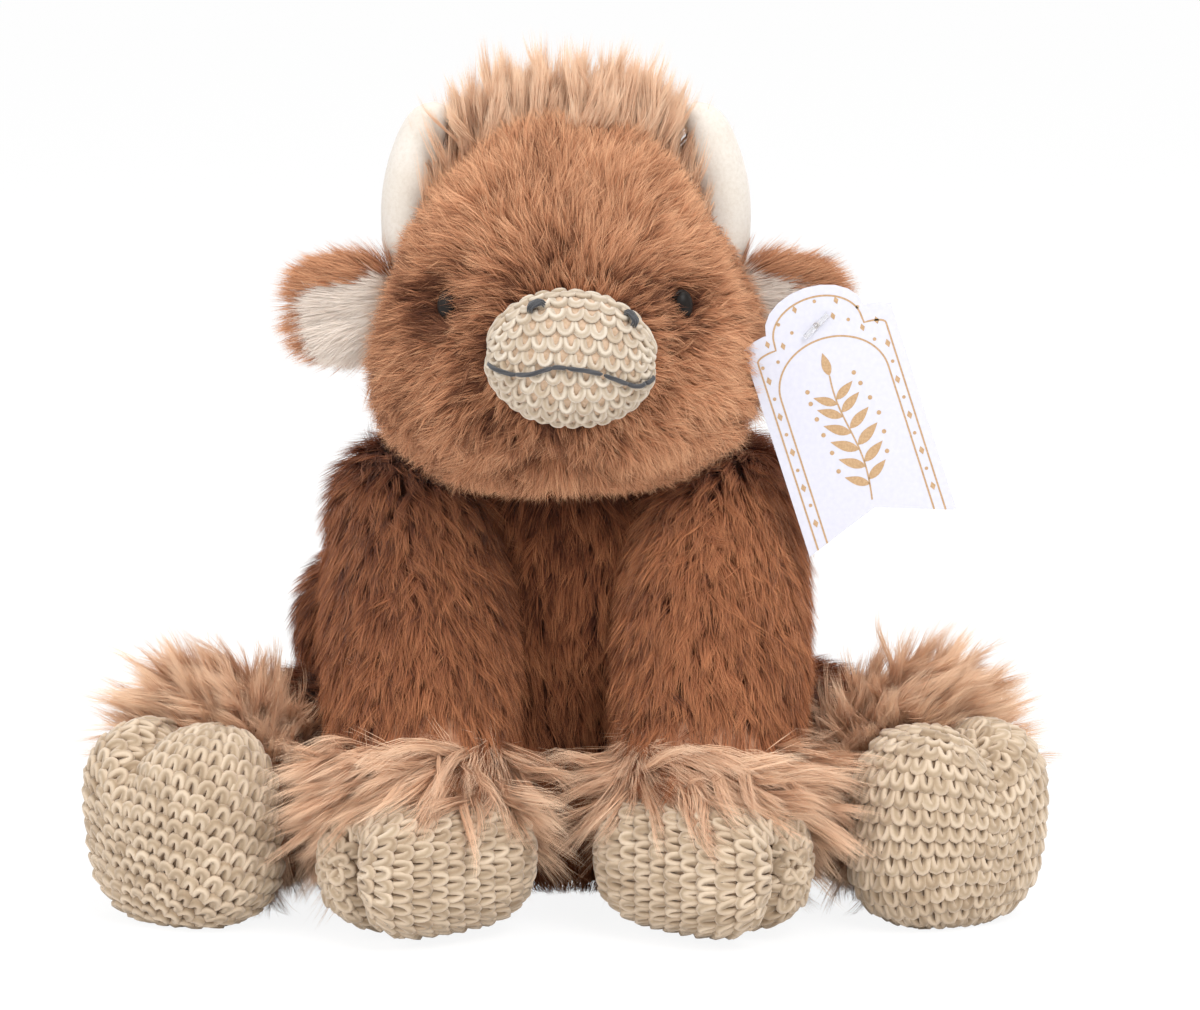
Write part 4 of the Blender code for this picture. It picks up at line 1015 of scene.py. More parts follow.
def guideCurves(roots, normals, lengths, hair, steer, trees, rng):
    # one bent line for each lock
    steps = hair["rings"] - 1
    places = [roots]
    heading = unit(normals * hair["stand"] + steer(roots, normals, 0.0))
    heading = unit(heading + rng.normal(0, hair["lockStray"], heading.shape))
    side = rng.normal(0, hair["curl"], heading.shape)
    for step in range(steps):
        share = (step + 1) / steps
        wish = unit(steer(places[-1], normals, share)) + side * math.sin(share * 3.1)
        heading = unit(heading * (1 - hair["turn"]) + wish * hair["turn"])
        after = places[-1] + heading * (lengths / steps)[:, None]
        for tree in trees:
            for index in range(len(after)):
                spot, facing, _, distance = tree.find_nearest(Vector(after[index]))
                inside = (Vector(after[index]) - spot).dot(facing) < 0
                if inside or distance < hair["clear"]:
                    after[index] = spot + facing * hair["clear"]
        after[:, 2] = np.maximum(after[:, 2], 1.0 * mm)
        heading = unit(after - places[-1])
        places.append(after)
    return np.stack(places, axis=1)


def growHair(name, body, slot, base, hair, steer, material, trees=(), rooted=None):
    # locks that follow their guides, each of wisps, each wisp of strands
    rng = np.random.default_rng(hair["seed"])
    count = int(hair["count"] * (1))
    places, normals = scatter(base.data, count, rng)
    if rooted:
        keep = rooted(places, normals)
        places, normals = places[keep], normals[keep]
    count = len(places)
    wisp = lockOf(places, hair["perWisp"])
    middles = np.arange(0, count, max(1, count // hair["locks"]))
    lock = nearestOf(places[middles], places)[wisp]
    lockLength = hair["length"] * (1 + hair["spread"] * rng.uniform(-1, 1, len(middles)))
    guides = guideCurves(places[middles], normals[middles], lockLength, hair, steer, trees, rng)
    share = np.linspace(0, 1, hair["rings"])
    run = guides[lock] - guides[lock][:, :1]
    reach = (1 - hair["ragged"] * rng.random(count) ** 2) * (1 + 0.16 * rng.uniform(-1, 1, count)[wisp])
    flyaway = rng.random(count) < hair["flyaways"]
    pull = np.where(flyaway, 0.15, (hair["pull"] * (0.75 + 0.25 * rng.random(count)))[wisp])
    gather = np.where(flyaway, 0.1, hair["wispPull"] * (0.8 + 0.2 * rng.random(count)))
    lockOffset = places[wisp] - places[middles][lock]
    wispOffset = places - places[wisp]
    draw = share[None] ** 0.9
    curves = places[middles][lock][:, None] + run * reach[:, None, None]
    curves = curves + lockOffset[:, None] * (1 - pull[:, None] * draw)[..., None]
    curves = curves + wispOffset[:, None] * (1 - gather[:, None] * draw)[..., None]
    stray = rng.normal(0, 1, (count, 3))[wisp] * hair["wispStray"]
    curves = curves + stray[:, None] * (share ** 1.3)[None, :, None]
    frizz = rng.normal(0, 1, (count, 3)) * np.where(flyaway, 3.2, 1.0)[:, None] * hair["frizz"]
    curves = curves + frizz[:, None] * (share ** 1.6)[None, :, None]
    ripple = rng.random(count) * 6.28
    wave = np.sin(share[None] * 9 + ripple[:, None]) * hair["ripple"] * share[None]
    curves = curves + np.cross(unit(frizz), unit(run[:, -1]))[:, None] * wave[..., None]
    lockShade = rng.normal(hair["tone"], hair["lockShade"], len(middles))[lock]
    wispShade = rng.normal(0, hair["shade"], count)[wisp]
    shade = np.clip(lockShade + wispShade + rng.normal(0, hair["shade"], count), 0, 1)
    widths = hair["width"] * (0.6 + 0.8 * rng.random(count)) * np.where(flyaway, 0.7, 1)
    roll = rng.normal(0, 0.6, count)
    order = np.argsort(places[:, 0] + 0.3 * places[:, 2])
    strands = (curves, widths, normals, roll, shade)
    strandPieces(name, body, slot, hair.get("parts", 1), order, strands, material)


cuff = {
    "form": {"voxel": 2.0 * mm, "soften": 5}, "share": {"fore": 0.73, "hind": 0.66}, "foreTop": 57 * mm,
    "own": {
        "fore": {"count": 42000, "locks": 420, "length": 28 * mm, "spread": 0.32, "stand": 0.35,
                 "turn": 0.46, "tone": 0.55},
        # the hind hair's higher tone is painted light, making up for the shade it gets facing up and back
        "hind": {"count": 43000, "locks": 520, "length": 22 * mm, "spread": 0.26, "stand": 0.9,
                 "turn": 0.38, "tone": 0.66},
    },
    "hair": dict(longHair, parts=2, clear=1.8 * mm, lockStray=0.30, curl=0.50, flyaways=0.06, pull=0.60,
                 wispPull=0.66, wispStray=1.2 * mm, frizz=0.45 * mm, ripple=0.3 * mm, lockShade=0.12,
                 shade=0.08, width=0.18 * mm),
    "under": dict(plainPile, count=24000, length=13 * mm, spread=0.3, lift=34, bend=0.4, pull=0.4, stray=0.2,
                  lockStray=0.25, shade=0.10, lockShade=0.10),
}


def cuffSteer(kind, sideName, side):
    start, end = limbAxis(kind, sideName)
    along = unit(end - start)
    outer = np.array((float(side), 0.0, 0.0))

    def steer(places, normals, share):
        foot = (places - start) @ along
        spoke = unit(places - start - foot[:, None] * along)
        if kind == "fore":
            # combed out to the side and down, and inward on the inner side
            outward = ramp((places[:, 0] - end[0]) * side, -28 * mm, -14 * mm)[:, None]
            flow = outer * (1.4 * outward - 0.6) + 0.30 * spoke
            flow = flow + np.array((0, -0.35, -0.42 - 0.35 * share))
        else:
            flow = 0.95 * spoke + 0.30 * along + np.array((0.22 * side, 0, -0.04 - 0.25 * share))
        flow = flow + 0.52 * np.stack((drift(places, 160, 3.1 + side), drift(places, 150, 5.3 + side),
                                       drift(places, 140, 7.7 + side)), axis=1)
        return flow
    return steer


def makeCuff(kind, sideName, side, number):
    body, node = kind + "leg_" + sideName, kind + "_cuff_" + sideName
    outline = nodePoints(node)
    middle = (outline.min(axis=0) + outline.max(axis=0)) / 2
    cloth = roundForm(kind + "_cuff_cloth_" + sideName, middle + (outline - middle) * cuff["share"][kind],
                      cuff["form"], tanBacking)
    restOn(cloth, 0.2 * mm)
    clothPiece(cloth, body, "long_fur", (node,))
    steer = cuffSteer(kind, sideName, side)

    def rooted(places, normals):
        return (kind == "hind") | (places[:, 2] < cuff["foreTop"])

    growPile(kind + "_cuff_underfur_" + sideName, body, "long_fur", cloth,
             dict(cuff["under"], seed=66 + number), lambda places, normals: steer(places, normals, 0.5),
             longFur, lambda places, normals: (1, rooted(places, normals)))
    growHair(kind + "_cuff_hair_" + sideName, body, "long_fur", cloth,
             dict(cuff["hair"], seed=61 + number, **cuff["own"][kind]), steer, longFur,
             [meshTree(bootieCloths[kind, sideName])], rooted)


print("stage: cuffs")
for number, (kind, sideName, side) in enumerate(feet):
    makeCuff(kind, sideName, side, number)


# Crown: long hair behind the brow seam, standing up and leaning a little

crown = {
    "form": {"inset": 3.0 * mm, "voxel": 2.2 * mm, "soften": 5}, "ridge": 0.62,
    "hair": dict(longHair, seed=71, count=40000, parts=2, locks=360, length=19.5 * mm, spread=0.42,
                 tone=0.57, stand=0.35, turn=0.5, lockStray=0.24, curl=0.36, pull=0.66, wispPull=0.76,
                 wispStray=1.1 * mm, width=0.19 * mm),
    "sideHair": {"seed": 72, "count": 200000, "locks": 150, "length": 19 * mm},
    "sideWidths": (12 * mm, 41 * mm), "sideDepths": (-42 * mm, -12 * mm), "sideLow": 200 * mm,
}
crownLow, crownHigh = boxOf("crown_tuft")
crownMiddle = (crownLow + crownHigh) / 2


def crownSteer(places, normals, share):
    flow = np.tile(np.array((0.06, 0.10, 1.0)), (len(places), 1))
    flow[:, 0] += 4.5 * places[:, 0] - 0.05 * drift(places, 200, 4.0)
    flow[:, 1] += 6.0 * (places[:, 1] - crownMiddle[1])
    return flow


def besideCrown(places, normals):
    # the band of long hair runs on down to the horns behind the brow seam
    wide, deep, high = np.abs(places[:, 0]), places[:, 1], places[:, 2]
    inner, outer = crown["sideWidths"]
    front, back = crown["sideDepths"]
    return (deep > front) & (deep < back) & (high > crown["sideLow"]) & (wide > inner) & (wide < outer)


print("stage: crown")
# the hair grows from a ridge that is lower than the tuft's full height
crownRidge = nodePoints("crown_tuft")
crownRidge[:, 2] = crownLow[2] + (crownRidge[:, 2] - crownLow[2]) * crown["ridge"]
crownCloth = roundForm("crown_cloth", crownRidge, crown["form"], tanBacking)
clothPiece(crownCloth, "head", "long_fur", ("crown_tuft",))
growHair("crown_hair", "head", "long_fur", crownCloth, crown["hair"], crownSteer, longFur)
sideHair = dict(crown["hair"], **crown["sideHair"])
growHair("crown_side_hair", "head", "long_fur", headCloth, sideHair, crownSteer, longFur, (), besideCrown)


# Horns: smooth felt, round at the tip

horn = {
    "root": (44 * mm, -30.06 * mm, 186.3 * mm), "length": 54.5 * mm, "radius": 8.6 * mm,
    "bow": 4.0 * mm, "lean": -4.5 * mm, "rows": 40, "columns": 36, "inset": 0.2 * mm,
    "shares": ((0.0, 0.62), (0.05, 0.80), (0.18, 1.0), (0.40, 0.99), (0.60, 0.95), (0.76, 0.90),
               (0.88, 0.81), (0.95, 0.64), (0.985, 0.38), (1.0, 0.0)),
}
creamFelt = speckledMaterial("cream felt", {
    "surface": (0.95, 0.35, 0.2), "noise": {"Scale": 900, "Detail": 5, "Roughness": 0.7},
    "stops": ((0.30, (0.62, 0.56, 0.49)), (0.52, (0.67, 0.62, 0.56)), (0.8, (0.72, 0.675, 0.62))),
    "wash": ((0.3, (0.93, 0.91, 0.88)), (0.7, (1, 1, 1))), "relief": (0.4, 0.15 * mm),
})


def makeHorn(sideName, side):
    heights, girths = smoothPath(horn["shares"], 200).T
    length, radius = horn["length"] - horn["inset"], horn["radius"] - horn["inset"]
    angles = np.linspace(0, 2 * math.pi, horn["columns"], endpoint=False)
    circle = np.stack((np.cos(angles), np.sin(angles), 0 * angles), axis=1)
    rings = []
    for share in np.sin(np.linspace(0, math.pi / 2, horn["rows"])):
        thick = max(radius * np.interp(share, heights, girths), 0.02 * mm)
        crease = 1 + 0.03 * math.exp(-((share - 0.22) / 0.05) ** 2)
        bow = horn["bow"] * math.sin(math.pi * share) + horn["lean"] * share ** 2
        middle = onSide(horn["root"], side) + np.array((side * bow, 0, share * length))
        rings.append(middle + circle * thick * crease)
    clothPiece(gridMesh("horn_felt_" + sideName, np.array(rings), creamFelt), "head", "felt",
               ("horn_" + sideName, "horn_filling_" + sideName))


print("stage: horns")
for sideName, side in sides:
    makeHorn(sideName, side)


# Ears: flat paddles, white pile in front under a rolled brown top edge

ear = {
    "root": (50.444 * mm, -34.349 * mm, 180.8 * mm), "droop": math.radians(10),
    "length": 31 * mm, "halfWidth": 18.5 * mm,
    # how much of the solid's length, width and thickness the cloth under the pile has
    "clothShares": (0.86, 0.74, 0.62), "form": {"voxel": 1.3 * mm, "soften": 6},
    "creaseDepth": 2.2 * mm, "creaseWidth": 2.4 * mm, "creaseLow": 1.5 * mm, "brownEdgeShare": 0.38,
    "white": dict(plainPile, seed=81, count=30000, length=8.5 * mm, lift=38, bend=0.45, perLock=8, pull=0.3,
                  lockStray=0.10, shade=0.08, lockShade=0.06),
    "brown": dict(plainPile, seed=83, count=32000, length=11.0 * mm, spread=0.40, lift=36),
}


def makeEar(sideName, side, number):
    root = onSide(ear["root"], side)
    along = np.array((side * math.cos(ear["droop"]), 0, -math.sin(ear["droop"])))
    wide = np.array((side * math.sin(ear["droop"]), 0, math.cos(ear["droop"])))
    front = np.array((0.0, -1.0, 0.0))
    local = nodePoints("ear_back_" + sideName, "ear_lining_" + sideName) - root
    points = root
    for way, share in zip((along, wide, front), ear["clothShares"]):
        points = points + way * ((local @ way) * share)[:, None]
    cloth = roundForm("ear_cloth_" + sideName, points, ear["form"], paleBacking)

    def crease(places, normals):
        # a soft fold down the middle of the lining
        reach = (places - root) @ along / ear["length"]
        width = (places - root) @ wide + ear["creaseLow"]
        facing = np.clip(normals @ front, 0, 1)
        depth = ear["creaseDepth"] * np.exp(-(width / ear["creaseWidth"]) ** 2) * ramp(reach, 0.15, 0.5)
        return places - front * (depth * facing * (1 - ramp(reach, 0.7, 0.9)))[:, None]

    reshape(cloth, crease)
    clothPiece(cloth, "ear_" + sideName, "short_plush", ("ear_back_" + sideName,))

    def widthShare(places):
        return (places - root) @ wide / ear["halfWidth"]

    def lining(places, normals):
        edge = ear["brownEdgeShare"] + 0.05 * drift(places, 900, 2.0)
        return (normals @ front > -0.25) & (widthShare(places) < edge)

    def liningComb(places, normals):
        return along[None] * 0.75 + wide[None] * (0.9 * widthShare(places))[:, None] - front[None] * 0.1

    def backComb(places, normals):
        return along[None] * 0.8 + wide[None] * (0.5 * ramp(widthShare(places), 0, 0.5) - 0.1)[:, None]

    white, brown = (dict(ear[kind], seed=ear[kind]["seed"] + number) for kind in ("white", "brown"))
    pile = growPile("ear_lining_pile_" + sideName, "ear_" + sideName, "white_plush", cloth, white,
                    liningComb, whitePlush, lambda places, normals: (1, lining(places, normals)))[0]
    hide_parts("ear_lining_" + sideName)
    growPile("ear_back_pile_" + sideName, "ear_" + sideName, "short_plush", cloth, brown, backComb,
             shortPlush, lambda places, normals: (1, ~lining(places, normals)))


print("stage: ears")
for number, (sideName, side) in enumerate(sides):
    makeEar(sideName, side, number)


# Muzzle: a crocheted dome, its rows running from side to side

muzzle = {
    "middle": np.array((1.8 * mm, -96.5 * mm, 170.9 * mm)), "halves": (24.8 * mm, 16.0 * mm, 19.7 * mm),
    "roll": math.radians(4.5), "squareness": 2.05, "clothInset": 1.0 * mm, "stitchInset": 1.25 * mm,
    "yarn": dict(yarn, pitch=4.7 * mm, row=4.6 * mm, radius=1.08 * mm, lean=0.02,
                 arch=((-0.36, -0.64, -0.95), (-0.39, -0.36, -0.10), (-0.33, -0.03, 0.38),
                       (-0.18, 0.17, 0.62), (0.0, 0.23, 0.68), (0.18, 0.16, 0.61), (0.33, -0.05, 0.36),
                       (0.39, -0.38, -0.13), (0.36, -0.64, -0.95))),
    "lowAngle": math.radians(-138), "highAngle": math.radians(140), "endShares": (0.988, 0.95),
}


def shrinkAt(across):
    # how much of its full girth the dome has at a share of its half width
    share = np.clip(1 - np.abs(across) ** muzzle["squareness"], 0, 1)
    return share ** (1 / muzzle["squareness"])


def muzzlePoint(across, around, inset=0.0):
    # across runs from -1 to 1 between the ends, around turns from the front up over the top
    wide, deep, tall = np.array(muzzle["halves"]) - inset
    turn, shrink = muzzle["roll"], shrinkAt(across)
    x, y, z = across * wide, -shrink * np.cos(around) * deep, shrink * np.sin(around) * tall
    return muzzle["middle"] + np.stack((x * math.cos(turn) + z * math.sin(turn), y,
                                        z * math.cos(turn) - x * math.sin(turn)), axis=-1)


def muzzleFrames(across, around, inset):
    step = 0.01
    place = muzzlePoint(across, around, inset)
    sideways = unit(muzzlePoint(across + step, around, inset) - muzzlePoint(across - step, around, inset))
    rising = muzzlePoint(across, around + step, inset) - place
    rising = unit(rising - sideways * np.sum(rising * sideways, axis=-1, keepdims=True))
    return place, sideways, rising, unit(np.cross(sideways, rising))


def frontFrames(across, up):
    # the same seen from the front, in shares of its half width and half height
    around = np.arcsin(np.clip(up / np.maximum(shrinkAt(across), 1e-6), -1, 1))
    return muzzleFrames(across, around, 0.0)


def makeMuzzle():
    rng = np.random.default_rng(91)
    ends = np.linspace(-0.985, 0.985, 40)
    rounds = np.linspace(-math.pi, math.pi, 48, endpoint=False)
    grid = muzzlePoint(*np.broadcast_arrays(ends[:, None], rounds[None]), muzzle["clothInset"])
    cloth = gridMesh("muzzle_cloth", grid, creamBackingPaintedShade)
    clothPiece(cloth, "head", "pale_crochet", ("muzzle_cover", "muzzle_filling"))
    stitch, inset = muzzle["yarn"], muzzle["stitchInset"]
    fine = np.linspace(muzzle["lowAngle"], muzzle["highAngle"], 300)
    reach = runLength(muzzlePoint(np.zeros(300), fine, inset))
    rows = round(reach[-1] / stitch["row"])
    places = []
    for number in range(rows):
        end = muzzle["endShares"][number % 2]
        line = np.linspace(-end, end, 200)
        around = np.interp((number + 0.5) / rows * reach[-1], reach, fine)
        gone = runLength(muzzlePoint(line, np.full(200, around), inset))
        stitches = round(gone[-1] / stitch["pitch"])
        shares = (np.arange(stitches) + 0.5 + rng.normal(0, 0.03, stitches)) / stitches
        spots = np.interp(shares * gone[-1], gone, line)
        places += [(across, around, gone[-1] / stitches) for across in spots]
    across, around, pitch = np.array(places).T
    place, sideways, rising, outward = muzzleFrames(across, around, inset)
    tall = np.clip(shrinkAt(across) * 1.15, 0.5, 1) * stitch["row"]
    paths = stitchPaths(place, -sideways * pitch[:, None], -rising * tall[:, None], outward, stitch, rng)
    yarnPiece("muzzle_stitches", paths, outward, stitch["radius"], creamYarn, ("head", "pale_crochet"), rng,
              yarn["thread"])


print("stage: muzzle")
makeMuzzle()


# Nostrils and mouth: dark stitches over the crochet

nostril = {
    "places": {"right": (-0.44, 0.75, 20), "left": (0.645, 0.67, -40)},
    "halfLength": 2.7 * mm, "halfWidth": 1.35 * mm, "threads": 6, "radius": 0.38 * mm, "lift": 1.4 * mm,
    "thread": {"sides": 8, "plies": 2, "plyDepth": 0.08, "twist": 1.3},
}
mouth = {
    "line": ((-0.945, -0.13), (-0.80, -0.19), (-0.63, -0.22), (-0.45, -0.185), (-0.29, -0.11),
             (-0.145, -0.05), (0.07, -0.06), (0.29, -0.085), (0.51, -0.165), (0.74, -0.255), (0.86, -0.225),
             (0.955, -0.14)),
    "stitchEnds": ((0.0, 0.20), (0.18, 0.43), (0.42, 0.50), (0.50, 0.67), (0.68, 0.79), (0.78, 0.91),
                   (0.91, 1.0)),
    "radius": 0.68 * mm, "lift": 1.0 * mm, "rings": 14,
    "thread": {"sides": 9, "plies": 3, "plyDepth": 0.12, "twist": 1.0, "ends": 0.5},
}


def makeNostril(sideName):
    rng = np.random.default_rng(95)
    across, up, tilt = nostril["places"][sideName]
    place, sideways, rising, outward = frontFrames(across, up)
    place = place + outward * nostril["lift"]
    turn = math.radians(tilt)
    lengthways = sideways * math.cos(turn) + rising * math.sin(turn)
    crossways = rising * math.cos(turn) - sideways * math.sin(turn)
    shares = np.linspace(-1, 1, 12)
    paths = []
    for number in range(nostril["threads"]):
        offset = (number + 0.5) / nostril["threads"] * 2 - 1
        reach = nostril["halfLength"] * math.sqrt(1 - 0.72 * offset ** 2) * (1 + rng.normal(0, 0.04))
        # the middle of a thread stands up and its ends go down into the crochet
        dome = (1 - shares ** 6) * 0.5 * mm - np.abs(shares) ** 8 * 1.2 * mm - offset ** 2 * 0.35 * mm
        path = place + lengthways * (shares * reach)[:, None] + crossways * (offset * nostril["halfWidth"])
        paths.append(path + outward * dome[:, None])
    dressing = ("head", "thread", "nostril_" + sideName)
    yarnPiece("nostril_threads_" + sideName, np.array(paths), np.tile(outward, (len(paths), 1)),
              nostril["radius"], darkThread, dressing, rng, nostril["thread"])


def makeMouth():
    rng = np.random.default_rng(97)
    line = smoothPath(mouth["line"], 400)
    lift = mouth["lift"] - np.abs(np.linspace(-1, 1, mouth["rings"])) ** 5 * 0.9 * mm
    paths, facings = [], []
    for start, end in mouth["stitchEnds"]:
        places = np.linspace(start, end, mouth["rings"]) * 399
        across, up = (np.interp(places, np.arange(400), line[:, axis]) for axis in (0, 1))
        place, sideways, rising, outward = frontFrames(across, up)
        paths.append(place + outward * lift[:, None])
        facings.append(outward)
    yarnPiece("mouth_stitches", np.array(paths), np.array(facings), mouth["radius"], darkThread,
              ("head", "thread", "mouth_thread"), rng, mouth["thread"])


print("stage: nostrils and mouth")
for sideName, side in sides:
    makeNostril(sideName)
makeMouth()


# Eyes: glossy black domes deep in the pile

eye = {
    "radius": 3.3 * mm, "tall": 1.35, "rows": 14, "columns": 40, "forward": 0.2 * mm, "outward": 0.55,
    # the girth and height of each ring that lies in the pile, and then the dome over them
    "skirt": ((1.0, -2.5 * mm), (1.06, -0.5 * mm), (1.06, 0.1 * mm), (1.0, 0.35 * mm)),
    "domeGirth": 0.97, "domeFoot": 0.35 * mm, "dome": 2.4 * mm,
}
blackEye = speckledMaterial("black eye", {
    "surface": (0.4, 0, 0.15), "noise": {"Scale": 300},
    "stops": ((0.3, (0.006, 0.004, 0.003)), (0.7, (0.014, 0.010, 0.008))),
})


def makeEye(sideName, side):
    outward = unit(np.array((side * eye["outward"], -1.0, 0.02)))
    across = unit(np.cross(upward, outward))
    tall = np.cross(outward, across)
    centre = eyePlaces[sideName] + outward * eye["forward"] - upward * head["eyeDrop"]
    angles = np.linspace(0, 2 * math.pi, eye["columns"], endpoint=False)
    profile = list(eye["skirt"])
    for turn in np.arange(eye["rows"]) / eye["rows"] * math.pi / 2:
        height = eye["domeFoot"] + eye["dome"] * math.sin(turn)
        profile.append((eye["domeGirth"] * math.cos(turn), height))
    rings = []
    for size, height in profile:
        ring = across[None] * (np.cos(angles) * size)[:, None]
        ring = ring + tall[None] * (np.sin(angles) * size * eye["tall"])[:, None]
        rings.append(centre + ring * eye["radius"] + outward * height)
    dress(gridMesh("eye_dome_" + sideName, np.array(rings), blackEye), "head", "eye_plastic",
          "eye_" + sideName, "eye_washer_" + sideName)


print("stage: eyes")
for sideName, side in sides:
    makeEye(sideName, side)


# Tag: white card with gold lines, dots, diamonds and a leafy sprig

tag = {
    "tilt": math.radians(18), "holeDrop": 1.6 * mm, "proud": 0.06 * mm, "line": 0.55 * mm,
    "halfWidth": 22.8 * mm, "archHalfWidth": 15.1 * mm, "archRise": 10 * mm, "shoulder": -2.0 * mm,
    "foot": -66.6 * mm, "notch": 8.2 * mm, "border": 3.0 * mm, "cornerDrop": 2 * mm,
    "windowHalf": 16.6 * mm, "windowRise": 13.7 * mm, "windowTop": -19.5 * mm,
    "diamond": 1.35 * mm, "dot": 0.55 * mm, "bandLow": 9 * mm, "bandHigh": -13 * mm, "bandMarks": 9,
    # rings of dots and diamonds over the window: reach and number
    "rings": ((19.2 * mm, 9), (24.0 * mm, 8)), "ringMiddle": -18.5 * mm, "holeClear": 4.2 * mm,
    "leafPairs": 6, "leafLength": 9.0 * mm, "leafWidth": 3.1 * mm, "leafTurn": math.radians(58),
    "berry": (8.9 * mm, 7.4 * mm), "stemTop": -17 * mm, "stemFoot": -56 * mm, "stemWidth": 0.5 * mm,
    "stemSway": 1.2 * mm,
}
tagJoint = jointPlace("tag_swing")
tagRight = np.array((math.cos(tag["tilt"]), 0, math.sin(tag["tilt"])))
tagUp = np.array((-math.sin(tag["tilt"]), 0, math.cos(tag["tilt"])))
tagOrigin = np.array((tagJoint[0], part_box("hang_tag")[0][1], tagJoint[2])) + tagUp * tag["holeDrop"]
whiteCard = speckledMaterial("white card", {
    "surface": (0.55, 0, 0.35), "noise": {"Scale": 700, "Detail": 6}, "relief": (0.12, 0.1 * mm),
    "stops": ((0.3, (0.59, 0.59, 0.67)), (0.7, (0.63, 0.63, 0.70))),
})
goldPrint = speckledMaterial("gold print", {
    "surface": (0.5, 0, 0.4), "noise": {"Scale": 1500},
    "stops": ((0.35, (0.42, 0.26, 0.13)), (0.65, (0.52, 0.34, 0.19))),
})
clearPlastic = speckledMaterial("clear plastic", {
    "surface": (0.12, 0, 0.5), "noise": {"Scale": 500}, "clear": {"Transmission Weight": 0.75, "IOR": 1.3},
    "stops": ((0.3, (0.86, 0.86, 0.87)), (0.7, (0.95, 0.95, 0.96))),
})


def onCard(flat):
    flat = np.asarray(flat, float)
    front = np.array((0.0, -tag["proud"], 0.0))
    return tagOrigin + front + flat[:, :1] * tagRight + flat[:, 1:] * tagUp


def stroke(line, width, shapes):
    # a flat ribbon along a line on the card
    line = np.asarray(line, float)
    heading = np.gradient(line, axis=0)
    heading = heading / np.maximum(np.linalg.norm(heading, axis=1, keepdims=True), 1e-9)
    beside = np.stack((-heading[:, 1], heading[:, 0]), axis=1) * width / 2
    left, right = line + beside, line - beside
    shapes.extend(zip(left[:-1], right[:-1], right[1:], left[1:]))


def borderLine():
    # the card's edge from foot to foot, drawn in by the border
    inset, drop = tag["border"], tag["cornerDrop"]
    half = tag["halfWidth"] - inset
    shoulder = tag["shoulder"] - inset
    corner = (tag["halfWidth"] - tag["archHalfWidth"]) * 0.8
    line = [(-half, tag["foot"] + tag["notch"] * inset / tag["halfWidth"]), (-half, shoulder - drop)]
    for angle in np.linspace(0, math.pi / 2, 8)[1:]:
        line.append((-half + corner * (1 - math.cos(angle)), shoulder - drop * (1 - math.sin(angle))))
    archHalf = tag["archHalfWidth"] - inset * 0.55
    rise = tag["archRise"] - 0.1 * inset
    for angle in np.linspace(math.pi, 0, 40):
        line.append((archHalf * math.cos(angle), -inset * 0.95 + rise * math.sin(angle)))
    left = [point for point in line if point[0] <= 0]
    return np.array(left + [(-x, y) for x, y in reversed(left)])


def windowLine():
    half = tag["windowHalf"]
    foot = tag["foot"] + tag["notch"] * (1 - half / tag["halfWidth"])
    arch = [(half * math.cos(angle), tag["windowTop"] + tag["windowRise"] * math.sin(angle))
            for angle in np.linspace(math.pi, 0, 48)]
    return np.array([(-half, foot)] + arch + [(half, foot)])


def diamond(centre, size):
    x, y = centre
    return (x - size * 0.62, y), (x, y - size), (x + size * 0.62, y), (x, y + size)


def dot(centre, size):
    turns = np.linspace(0, 2 * math.pi, 12, endpoint=False)
    return [(centre[0] + size * math.cos(turn), centre[1] + size * math.sin(turn)) for turn in turns]


def leaf(root, angle, length, width):
    reach = np.linspace(0, 1, 9)
    way = np.array((math.cos(angle), math.sin(angle)))
    beside = np.array((-way[1], way[0]))[None] * (np.sin(math.pi * reach ** 0.8) * width / 2)[:, None]
    spine = root + way * length * reach[:, None]
    return list(spine + beside) + list((spine - beside)[-2:0:-1])


def sprig():
    # a swaying stem with leaves and berries in pairs
    shapes = []
    heights = np.linspace(tag["stemFoot"], tag["stemTop"], 30)
    sway = tag["stemSway"] * np.sin((heights - heights[0]) / (heights[-1] - heights[0]) * 5.5)
    stroke(np.stack((sway, heights), axis=1), tag["stemWidth"], shapes)
    for number in range(tag["leafPairs"]):
        share = 0.16 + 0.80 * number / tag["leafPairs"]
        index = int(share * 29)
        size = 1 - 0.45 * abs(share - 0.45)
        for side in (-1, 1):
            root = np.array((sway[index], heights[index] + side * 0.7 * mm))
            angle = math.pi / 2 - side * tag["leafTurn"]
            shapes.append(leaf(root, angle, tag["leafLength"] * size, tag["leafWidth"] * size))
            aside, above = tag["berry"]
            shapes.append(dot(root + np.array((side * aside * size, above * size)), tag["dot"] * 1.25))
    top = np.array((sway[-1], heights[-1]))
    return shapes + [leaf(top, math.pi / 2, tag["leafLength"] * 0.8, tag["leafWidth"] * 0.9)]


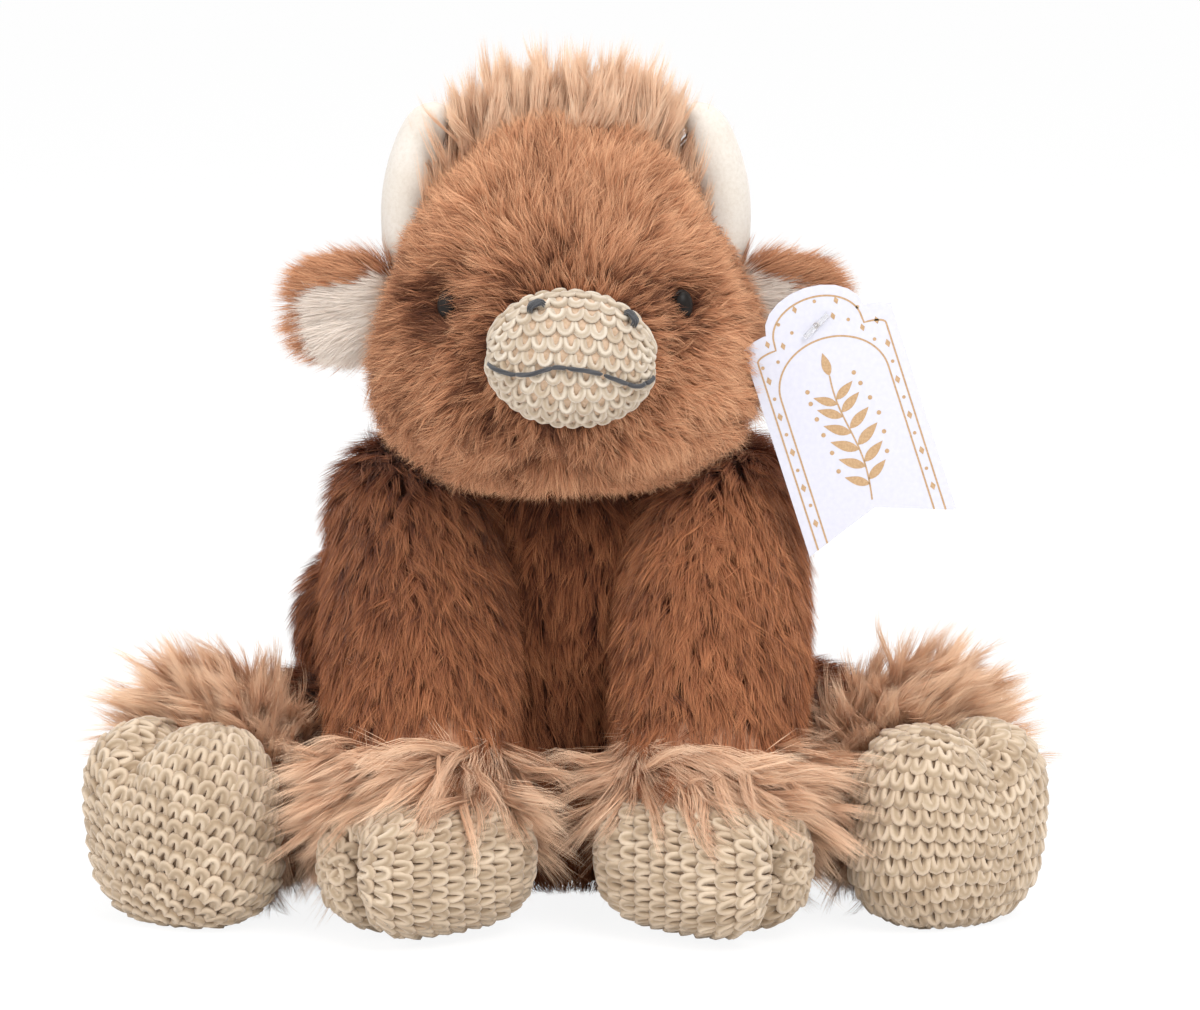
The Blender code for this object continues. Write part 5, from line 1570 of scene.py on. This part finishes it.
def makeTag():
    rng = np.random.default_rng(101)
    for node, material in (("hang_tag", whiteCard), ("tag_pin", clearPlastic)):
        frame["nodes"][node].data.materials.clear()
        frame["nodes"][node].data.materials.append(material)
    shapes = []
    stroke(borderLine(), tag["line"], shapes)
    stroke(windowLine(), tag["line"], shapes)
    band = (tag["halfWidth"] - tag["border"] + tag["windowHalf"]) / 2
    low = tag["foot"] + tag["bandLow"]
    for side in (-1, 1):
        for number, height in enumerate(np.linspace(low, tag["bandHigh"], tag["bandMarks"])):
            spot = (side * (band + rng.normal(0, 0.15 * mm)), height)
            shapes.append(dot(spot, tag["dot"]) if number % 2 else diamond(spot, tag["diamond"]))
    for ring, (reach, count) in enumerate(tag["rings"]):
        for number in range(count):
            angle = math.radians(24 + 132 * (number + 0.5 * (ring % 2)) / (count - 0.5))
            spot = (reach * 0.86 * math.cos(angle), tag["ringMiddle"] + reach * math.sin(angle))
            if math.hypot(spot[0], spot[1] + tag["holeDrop"]) >= tag["holeClear"]:
                odd = (number + ring) % 2
                shapes.append(diamond(spot, tag["diamond"] * 0.9) if odd else dot(spot, tag["dot"]))
    shapes += sprig()
    sizes = [len(shape) for shape in shapes]
    points = [tuple(point) for shape in shapes for point in shape]
    starts = np.concatenate(((0,), np.cumsum(sizes)[:-1]))
    data = polyMesh("tag_print", onCard(points), np.arange(len(points)), starts, smooth=False)
    builder = bmesh.new()
    builder.from_mesh(data)
    for face in builder.faces:
        if face.normal.y > 0:
            face.normal_flip()
    builder.to_mesh(data)
    builder.free()
    dress(linkPiece("tag_print", data, goldPrint), "tag", "card")


print("stage: tag")
makeTag()


# Tail: a short brown stalk with a tuft

tail = {
    "start": (0.0, 42.25 * mm, 46.0 * mm), "end": (0.0, 52.25 * mm, 20.0 * mm),
    "form": {"inset": 1.4 * mm, "voxel": 1.2 * mm, "soften": 3},
    "pile": dict(plainPile, seed=111, count=5000, length=7 * mm, lift=34, width=0.26 * mm, perLock=24,
                 pull=0.6, lockStray=0.12, shade=0.13, lockShade=0.16),
    # the cloth under the tuft is a smaller tuft, moved up into the tail's end
    "tuftShare": 0.62, "tuftRise": 4 * mm, "tuftForm": {"inset": 0.4 * mm, "voxel": 1.2 * mm, "soften": 3},
    "hair": dict(longHair, seed=113, tone=0.55, count=4500, locks=40, length=17 * mm, spread=0.2, stand=0.35,
                 turn=0.4, lockStray=0.12, curl=0.2, ragged=0.3, pull=0.7, perWisp=10, wispPull=0.78,
                 wispStray=0.9 * mm, width=0.20 * mm),
}
tailWay = np.array(tail["end"]) - np.array(tail["start"])


def tailComb(places, normals):
    return np.tile(tailWay, (len(places), 1))


def tuftSteer(places, normals, share):
    return np.tile(unit(tailWay), (len(places), 1)) + 0.25 * unit(normals)


print("stage: tail")
tailCloth = roundForm("tail_cloth", nodePoints("tail_skin"), tail["form"], brownBacking)
clothPiece(tailCloth, "tail", "short_plush", ("tail_skin",))
growPile("tail_pile", "tail", "short_plush", tailCloth, tail["pile"], tailComb, shortPlush)
tuftOutline = nodePoints("tail_tuft")
tuftTop = tuftOutline[tuftOutline[:, 2].argmax()] - unit(tailWay) * tail["tuftRise"]
tuftCloth = roundForm("tuft_cloth", tuftTop + (tuftOutline - tuftTop) * tail["tuftShare"], tail["tuftForm"],
                      tanBacking)
clothPiece(tuftCloth, "tail", "long_fur", ("tail_tuft",))
growHair("tail_tuft_hair", "tail", "long_fur", tuftCloth, tail["hair"], tuftSteer, longFur)
